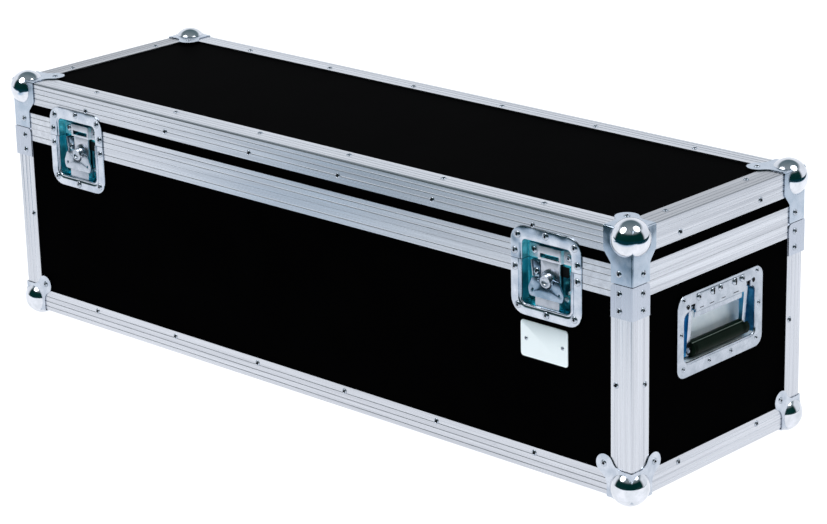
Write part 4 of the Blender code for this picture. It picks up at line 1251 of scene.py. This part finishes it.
@dataclass
class Handle(Fitting):
    """A recessed sprung handle: dish, bracket, bail and rubber grip."""

    end: str
    side: Face
    height: float = 172.0
    half: float = 80.0
    tall: float = 49.5
    tray_half: float = 67.0
    tray_low: float = -32.5
    tray_high: float = 27.0
    depth: float = 16.5
    face: float = 1.5
    pivot_v: float = 31.5
    pivot_w: float = -3.5
    grip_v: float = -21.6
    grip_w: float = -6.9
    grip_radius: float = 9.5
    arm_inner: float = 48.7
    arm_width: float = 7.0
    clearance: float = 0.6
    slot: tuple[float, float, float] = (24.5, 35.8, -8.0)
    bracket_half: float = 46.5
    bracket_face: float = 1.64
    bolt_v: float = 42.0
    bolts: tuple[float, ...] = (-41.5, -15.5, -1.0, 26.0, 40.5)
    rivet: RivetKind = RivetKind(3.2, 1.0, 1.25)
    bolt: RivetKind = RivetKind(4.6, 2.0, 1.5)
    dimple: RivetKind = RivetKind(3.4, 0.5, 2.4)

    def pan(self) -> Mesh:
        """Press the dish: flange, rolled rim, walls bent into the floor, the same behind, and arm slots.

        Returns:
            The closed pressing.
        """
        tray = Ring(self.tray_half, self.tray_low, self.tray_high, 8.0)
        flange = Ring(self.half, -self.tall, self.tall, 13.0)
        floor = -self.depth
        bm = pressed(tray.steps((1.0, floor - 1.2), (1.2, floor), (1.2, 0.3))
                     + flange.steps((0, 0.3), (0, 1.1), (-0.4, 1.5))
                     + tray.steps((4.0, 1.5), (2.0, 1.35), (0.9, 0.9), (0.3, 0.2), (0.0, -0.9), (-0.2, -3.0),
                                  (-0.3, floor + 8.5), (-1.2, floor + 5.0), (-3.0, floor + 2.4),
                                  (-5.4, floor + 0.8), (-8.4, floor)))
        near, far = self.arm_inner - self.clearance, self.arm_inner + self.arm_width + self.clearance
        low, high, deep = self.slot
        for side in SIDES:
            left, right = sorted((side * near, side * far))
            for spot, normal in ((U * left, U), (U * right, U), (V * low, V), (V * high, V), (W * deep, W)):
                cut(bm, spot, normal)
            middles = [(item, item.calc_center_median() / MM) for item in bm.faces]
            inside = [item for item, spot in middles
                      if left < spot.x < right and low < spot.y < high and spot.z > deep]
            bmesh.ops.delete(bm, geom=inside, context="FACES")
            bmesh.ops.bridge_loops(bm, edges=rim(bm))
        # Painted shade and reflection: the recess's side walls take the blue finish, its floor and its top
        # and bottom walls the pan finish.
        for item in outward(bm).faces:
            if item.calc_center_median().z < -0.8 * MM:
                item.material_index = 1 if abs(item.normal.x) > max(abs(item.normal.y), 0.25) else 3
        return bm

    def bracket(self) -> Mesh:
        """Cut the bracket over the rod, roll its lower edge into knuckles and hang its inner lip.

        Returns:
            The bracket's mesh.
        """
        low, half = self.tray_high - 1.5, self.bracket_half
        bm = thicken(blank(rectangle(-half, half, low, 47, 0, 2.5)), 1.0, self.bracket_face, 0.12)
        add(bm, thicken(blank(rectangle(-45, 45, 16.5, 27, 1.5)), -3.4, -2.2, 0.3))
        start = -half
        for length in (17.0, 20.0, 19.0, 20.0, 17.0):
            add(bm, rod(2.4, start + 0.5, start + length - 0.5, low + 0.6, -0.75, 20))
            start += length
        return bm

    def slits(self) -> Mesh:
        """Mark the gaps over the knuckles and the slots of the two screws with dark strips of painted shade.

        Returns:
            Their mesh.
        """
        bm = bmesh.new()
        low = self.tray_high + 0.9
        for middle, long in ((-36.0, 3.4), (-17.5, 4.2), (4.5, 3.6), (28.5, 5.0)):
            add(bm, thicken(blank(rectangle(middle - long, middle + long, low, low + 0.9)), 1.3, 1.68, 0))
        for middle in (-15.5, 26.0):
            add(bm, thicken(blank(rectangle(middle - 0.8, middle + 0.8, 38.2, 46.0)), 3.1, 3.74, 0))
        return bm

    def bail(self) -> Mesh:
        """Make the bail: the rod, two flattened arms with turned-in feet, and the bar in the grip.

        Returns:
            The bail's mesh.
        """
        top, out, foot, low = self.pivot_v + 3.6, self.pivot_w, self.grip_v - 7.5, self.grip_w
        middle = self.arm_inner + self.arm_width / 2
        bm = rod(2.8, -middle, middle, self.pivot_v, out)
        add(bm, rod(4.0, -middle, middle, self.grip_v, low))
        for side in SIDES:
            arm = thicken(blank([(top, out - 3.6, 3.2), (top, out + 2.4, 3.0), (foot, low + 1.2, 2.2),
                                 (foot, low - 3.6, 2.2)]), -self.arm_width / 2, self.arm_width / 2, 0.8)
            # Painted shade and reflection: the arms' broad sides take the blue finish.
            for item in arm.faces:
                item.material_index = int(abs(item.normal.z) > 0.9)
            add(bm, arm, shift(side * middle) @ ON_YZ)
            add(bm, rod(2.6, side * 54.6, side * 40, self.grip_v - 5.8, low - 1.0, 16, 1.2))
        return bm

    def grip(self) -> Mesh:
        """Mould the grip: a sleeve whose ends lap the fronts of the arms, with a ridge along its top.

        Returns:
            The grip's mesh.
        """
        inner, radius = self.arm_inner - 0.3, self.grip_radius
        bm = rod(radius, -inner, inner, self.grip_v, self.grip_w, 48, 0.4)
        for start, end in ((8 - inner, -51.5), (inner - 8, 57.0)):
            lap = rod(radius, start, end, self.grip_v, self.grip_w, 48, 2.6)
            cut(lap, W * -0.8, W, 1)
            bmesh.ops.holes_fill(lap, edges=rim(lap))
            add(bm, outward(lap))
        # Painted highlight: the ridge takes the lighter ridge rubber, for the light line along the grip's
        # top.
        angle = radians(63)
        add(bm, rod(0.45, -inner, inner, self.grip_v + radius * sin(angle), self.grip_w + radius * cos(angle),
                    12, 0.1), material=1)
        return bm

    def build(self) -> None:
        """Make the handle's pieces and rivets."""
        name, face = f"handle_{self.end}", self.face
        place = self.case.frame(self.side, 0, self.height)
        pan = self.pan()
        add(pan, self.bracket(), material=0)
        add(pan, self.slits(), material=2)
        for part, bm, body, slot, finishes, solid in (
                ("pan", pan, "base", "plated", "satin blue hollow pan", "dish"),
                ("loop", self.bail(), name, "plated", "satin blue", "bail"),
                ("sleeve", self.grip(), name, "rubber", "rubber worn", "grip")):
            self.make(f"{name}_{part}", bm, body, slot, finishes, place, f"{name}_{solid}")
        small = RivetRow(f"{name}_rivets", "base", self.rivet, 41)
        small.pairs(place, (69, 44, face), (69, -38.5, face), (73.0, 3.5, face), (20.5, -41.2, face))
        large = RivetRow(f"{name}_bolts", "base", self.bolt, 42)
        for u in self.bolts:
            large.put(place, u, self.bolt_v, self.bracket_face)
        dents = RivetRow(f"{name}_dimples", "base", self.dimple, 43)
        dents.pairs(place, (61.5, 34.5, face))
        self.fasten(small, large, dents)


@dataclass
class LabelPlate(Fitting):
    """The bare plate under the right latch."""

    middle: float = 397.0
    height: float = 161.0
    half: float = 35.0
    tall: float = 22.0
    sheet: float = 0.9
    sunk: float = 1.8
    rivet: RivetKind = RivetKind(2.6, 0.8, 0.9)

    def build(self) -> None:
        """Cut the plate and rivet it."""
        place = self.case.frame(Face.FRONT, self.middle, self.height) @ shift(w=-self.sunk)
        outline = rectangle(-self.half, self.half, -self.tall, self.tall, 4, 4)
        self.make("label_plate", thicken(blank(outline), 0, self.sheet, 0.3), "base", "profile", "plate",
                  place)
        row = RivetRow("label_plate_rivets", "base", self.rivet, 51)
        row.pairs(place, (27, 0, self.sheet))
        self.fasten(row)


@dataclass
class Hinge(Fitting):
    """A back hinge: two leaves with interleaved knuckles on one pin, and its rivets."""

    side: str
    middle: float
    offset: float = 5.2
    half: float = 30.0
    back: float = 0.3
    face: float = 1.8
    knuckle: float = 4.3
    knuckle_half: float = 5.8
    rivet: RivetKind = RivetKind(3.4, 1.1, 1.1)

    def leaf(self, up: int, length: float, own: Sequence[float]) -> Mesh:
        """Cut one leaf and roll its knuckles.

        Args:
            up: 1 for the lid's leaf and -1 for the base's.
            length: how far it runs from the pin.
            own: the middles of its knuckles.

        Returns:
            The leaf's mesh.
        """
        near, far, wide = up * 5.0, up * length, self.knuckle_half
        low, high = sorted((near, far))
        bm = thicken(blank(rectangle(-self.half, self.half, low, high, 5 * (up < 0), 5 * (up > 0))),
                     self.back, self.face, 0.3)
        for middle in own:
            left, right = middle - wide, middle + wide
            strip = rectangle(left, right, *sorted((0, near + up)))
            add(bm, thicken(blank(strip), self.back, self.face, 0.1))
            add(bm, rod(self.knuckle, left, right, 0, self.offset))
            add(bm, thicken(blank(rectangle(left, right, *sorted((0, up * 4.2)))), self.back, self.offset,
                            0.1))
        return bm

    def build(self) -> None:
        """Make both leaves and their rivets."""
        name, pin = f"hinge_{self.side}", self.half + 0.4
        place = self.case.frame(Face.BACK, -self.middle, self.case.seam)
        base = self.leaf(-1, 38.0, (-24.0, 0.0, 24.0))
        add(base, rod(2.0, -pin, pin, 0, self.offset, 20))
        self.make(f"{name}_lower", base, "base", "plated", "satin", place, f"{name}_base_leaf")
        own = (-12.0, 12.0)
        lid = self.leaf(1, 32.0, own)
        for middle in own:
            lug = rectangle(middle - self.knuckle_half, middle + self.knuckle_half, -2.3, 0.8)
            add(lid, thicken(blank(lug), self.offset + 3.1, self.offset + 4.65, 0.2))
        self.make(f"{name}_upper", lid, "lid", "plated", "satin", place, f"{name}_lid_leaf")
        lower = RivetRow(f"{name}_lower_rivets", "base", self.rivet, 61)
        lower.pairs(place, (20, -16, self.face), (20, -30, self.face))
        upper = RivetRow(f"{name}_upper_rivets", "lid", self.rivet, 62)
        upper.pairs(place, (20, 14, self.face), (20, 25, self.face))
        self.fasten(lower, upper)


@dataclass
class Studio:
    """The floor, the light and the camera."""

    lens: float = 120.93
    spot: tuple[float, float, float] = (2.31453, -2.41025, 1.27160)
    azimuth: float = 43.253
    elevation: float = 18.696
    roll: float = 1.352
    aim: tuple[float, float, float] = (0, 0, 0.15)
    pale: Colour = (0.98, 0.985, 1.0)
    dusk: Colour = (0.46, 0.60, 0.73)
    dark: Colour = (0.002, 0.03, 0.04)

    def floor(self) -> None:
        """Lay the pale floor, whose glow paints the light round the case, fading in front of it and past its
        right end, with a painted shade patch in front of the case.
        """
        bm = bmesh.new()
        bmesh.ops.create_grid(bm, x_segments=1, y_segments=1, size=14)
        mesh = baked(bm, "floor")
        material, net, place = Finish("pale_floor").start()
        parts = net.parts(place)
        x, y = parts["X"], parts["Y"]
        nearer = net.math("SUBTRACT", net.math("MULTIPLY_ADD", x, -0.2, y),
                          net.levels(x, 0.0, 0.12, (-0.8, -0.6)))
        lit = net.math("MINIMUM", net.levels(nearer, 0.0, 1.0, (-1.24, -0.83)),
                       net.levels(x, 1.0, 0.0, (1.3, 1.6)))
        patch = net.math("MINIMUM", net.levels(x, 0.0, 0.76, (-0.88, -0.68)),
                         net.levels(x, 0.76, 0.0, (-0.60, -0.20)))
        shade = net.math("MULTIPLY", patch, net.levels(y, 1.0, 0.0, (-0.66, -0.50)))
        lit = net.math("SUBTRACT", lit, shade)
        colours = []
        for share in (0.26, 1.0):
            far, middle, near = (scaled(colour, share) for colour in (self.dark, self.dusk, self.pale))
            colours.append(net.ramp(lit, far, near, (0.0, 1.0)))
            colours[-1].node.color_ramp.elements.new(0.34).color = (*middle, 1)
        # Painted light: camera rays see the floor evenly pale, other rays see its glow with the painted fade
        # and the painted shade patch.
        seen = net.node("LightPath").outputs["Is Camera Ray"]
        net.shade(Base_Color=colours[0], Roughness=0.9, Specular_IOR_Level=0.0, Emission_Strength=1.0,
                  Emission_Color=net.blend(seen, colours[1], self.pale))
        mesh.materials.append(material)
        linked("floor", mesh)

    def sky(self) -> None:
        """Light the room: a pale sweep behind the case, a dark room before it and a grey ceiling."""
        world = bpy.data.worlds.new("studio")
        bpy.context.scene.world = world
        world.use_nodes = True
        net = Net(world.node_tree)
        place = net.node("TexCoord").outputs["Generated"]
        height = net.parts(place)["Z"]
        front = net.node("VectorMath", operation="DOT_PRODUCT")
        front.inputs[1].default_value = (0.52, -0.854, 0.0)
        net.feed(front.inputs[0], place)
        toward = front.outputs["Value"]
        room = net.ramp(net.levels(toward, 0.0, 1.0, (-0.1, 0.12)), (1.03, 1.06, 1.10), (0.002, 0.03, 0.027),
                        (0.0, 1.0))
        ceiling = net.ramp(net.levels(toward, 0.0, 1.0, (-0.6, 0.6)), (0.13, 0.19, 0.21),
                           (0.33, 0.37, 0.38), (0.0, 1.0))
        light = net.blend(net.levels(height, 0.0, 1.0, (0.55, 0.72)), room, ceiling)
        seen = net.node("LightPath").outputs["Is Camera Ray"]
        back = net.tree.nodes["Background"].inputs
        net.feed(back["Color"], net.blend(seen, light, (0.93, 0.95, 0.98)))
        net.feed(back["Strength"], 1.0)

    def camera(self) -> None:
        """Stand the camera where the photograph was taken."""
        lens = bpy.data.cameras.new("camera")
        lens.lens = self.lens
        lens.sensor_width = 36
        lens.sensor_fit = "HORIZONTAL"
        lens.clip_end = 100
        item = linked("camera", lens)
        item.matrix_world = (Matrix.Translation(self.spot)
                             @ Matrix.Rotation(radians(self.azimuth), 4, "Z")
                             @ Matrix.Rotation(radians(90 - self.elevation), 4, "X")
                             @ Matrix.Rotation(radians(-self.roll), 4, "Z"))
        bpy.context.scene.camera = item

    def lamps(self) -> None:
        """Hang the two soft boxes, each by its place, its width and its power in watts."""
        for side, spot, size, power in (("left", (-1.09, -2.60, 3.68), 2.6, 100),
                                        ("right", (2.26, 0.51, 3.52), 2.1, 64)):
            light = bpy.data.lights.new(f"soft_box_{side}", "AREA")
            light.shape, light.size, light.energy = "DISK", size, power
            item = linked(light.name, light)
            item.location = spot
            item.rotation_euler = (Vector(self.aim) - Vector(spot)).to_track_quat("-Z", "Y").to_euler()

    def build(self) -> None:
        """Set up the floor, the light, the camera and the view's colours."""
        self.floor()
        self.sky()
        self.lamps()
        self.camera()
        bpy.context.scene.view_settings.view_transform = "Standard"


def main() -> None:
    """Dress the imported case, part by part."""
    logging.basicConfig(level=logging.INFO, format="%(name)s: %(message)s")
    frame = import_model()
    case = Case.measured()
    palette = Palette(case)
    Studio().build()
    shell = Shell(case, palette)
    shell.dress(frame["nodes"])
    shell.build()
    BallCorners(case, palette).build()
    for side, sign in zip(("left", "right"), SIDES):
        Latch(case, palette, side, sign * LATCH_MIDDLE).build()
        Hinge(case, palette, side, sign * HINGE_MIDDLE).build()
    for end, face in (("left", Face.LEFT), ("right", Face.RIGHT)):
        Handle(case, palette, end, face).build()
    LabelPlate(case, palette).build()


if __name__ == "__main__":
    main()
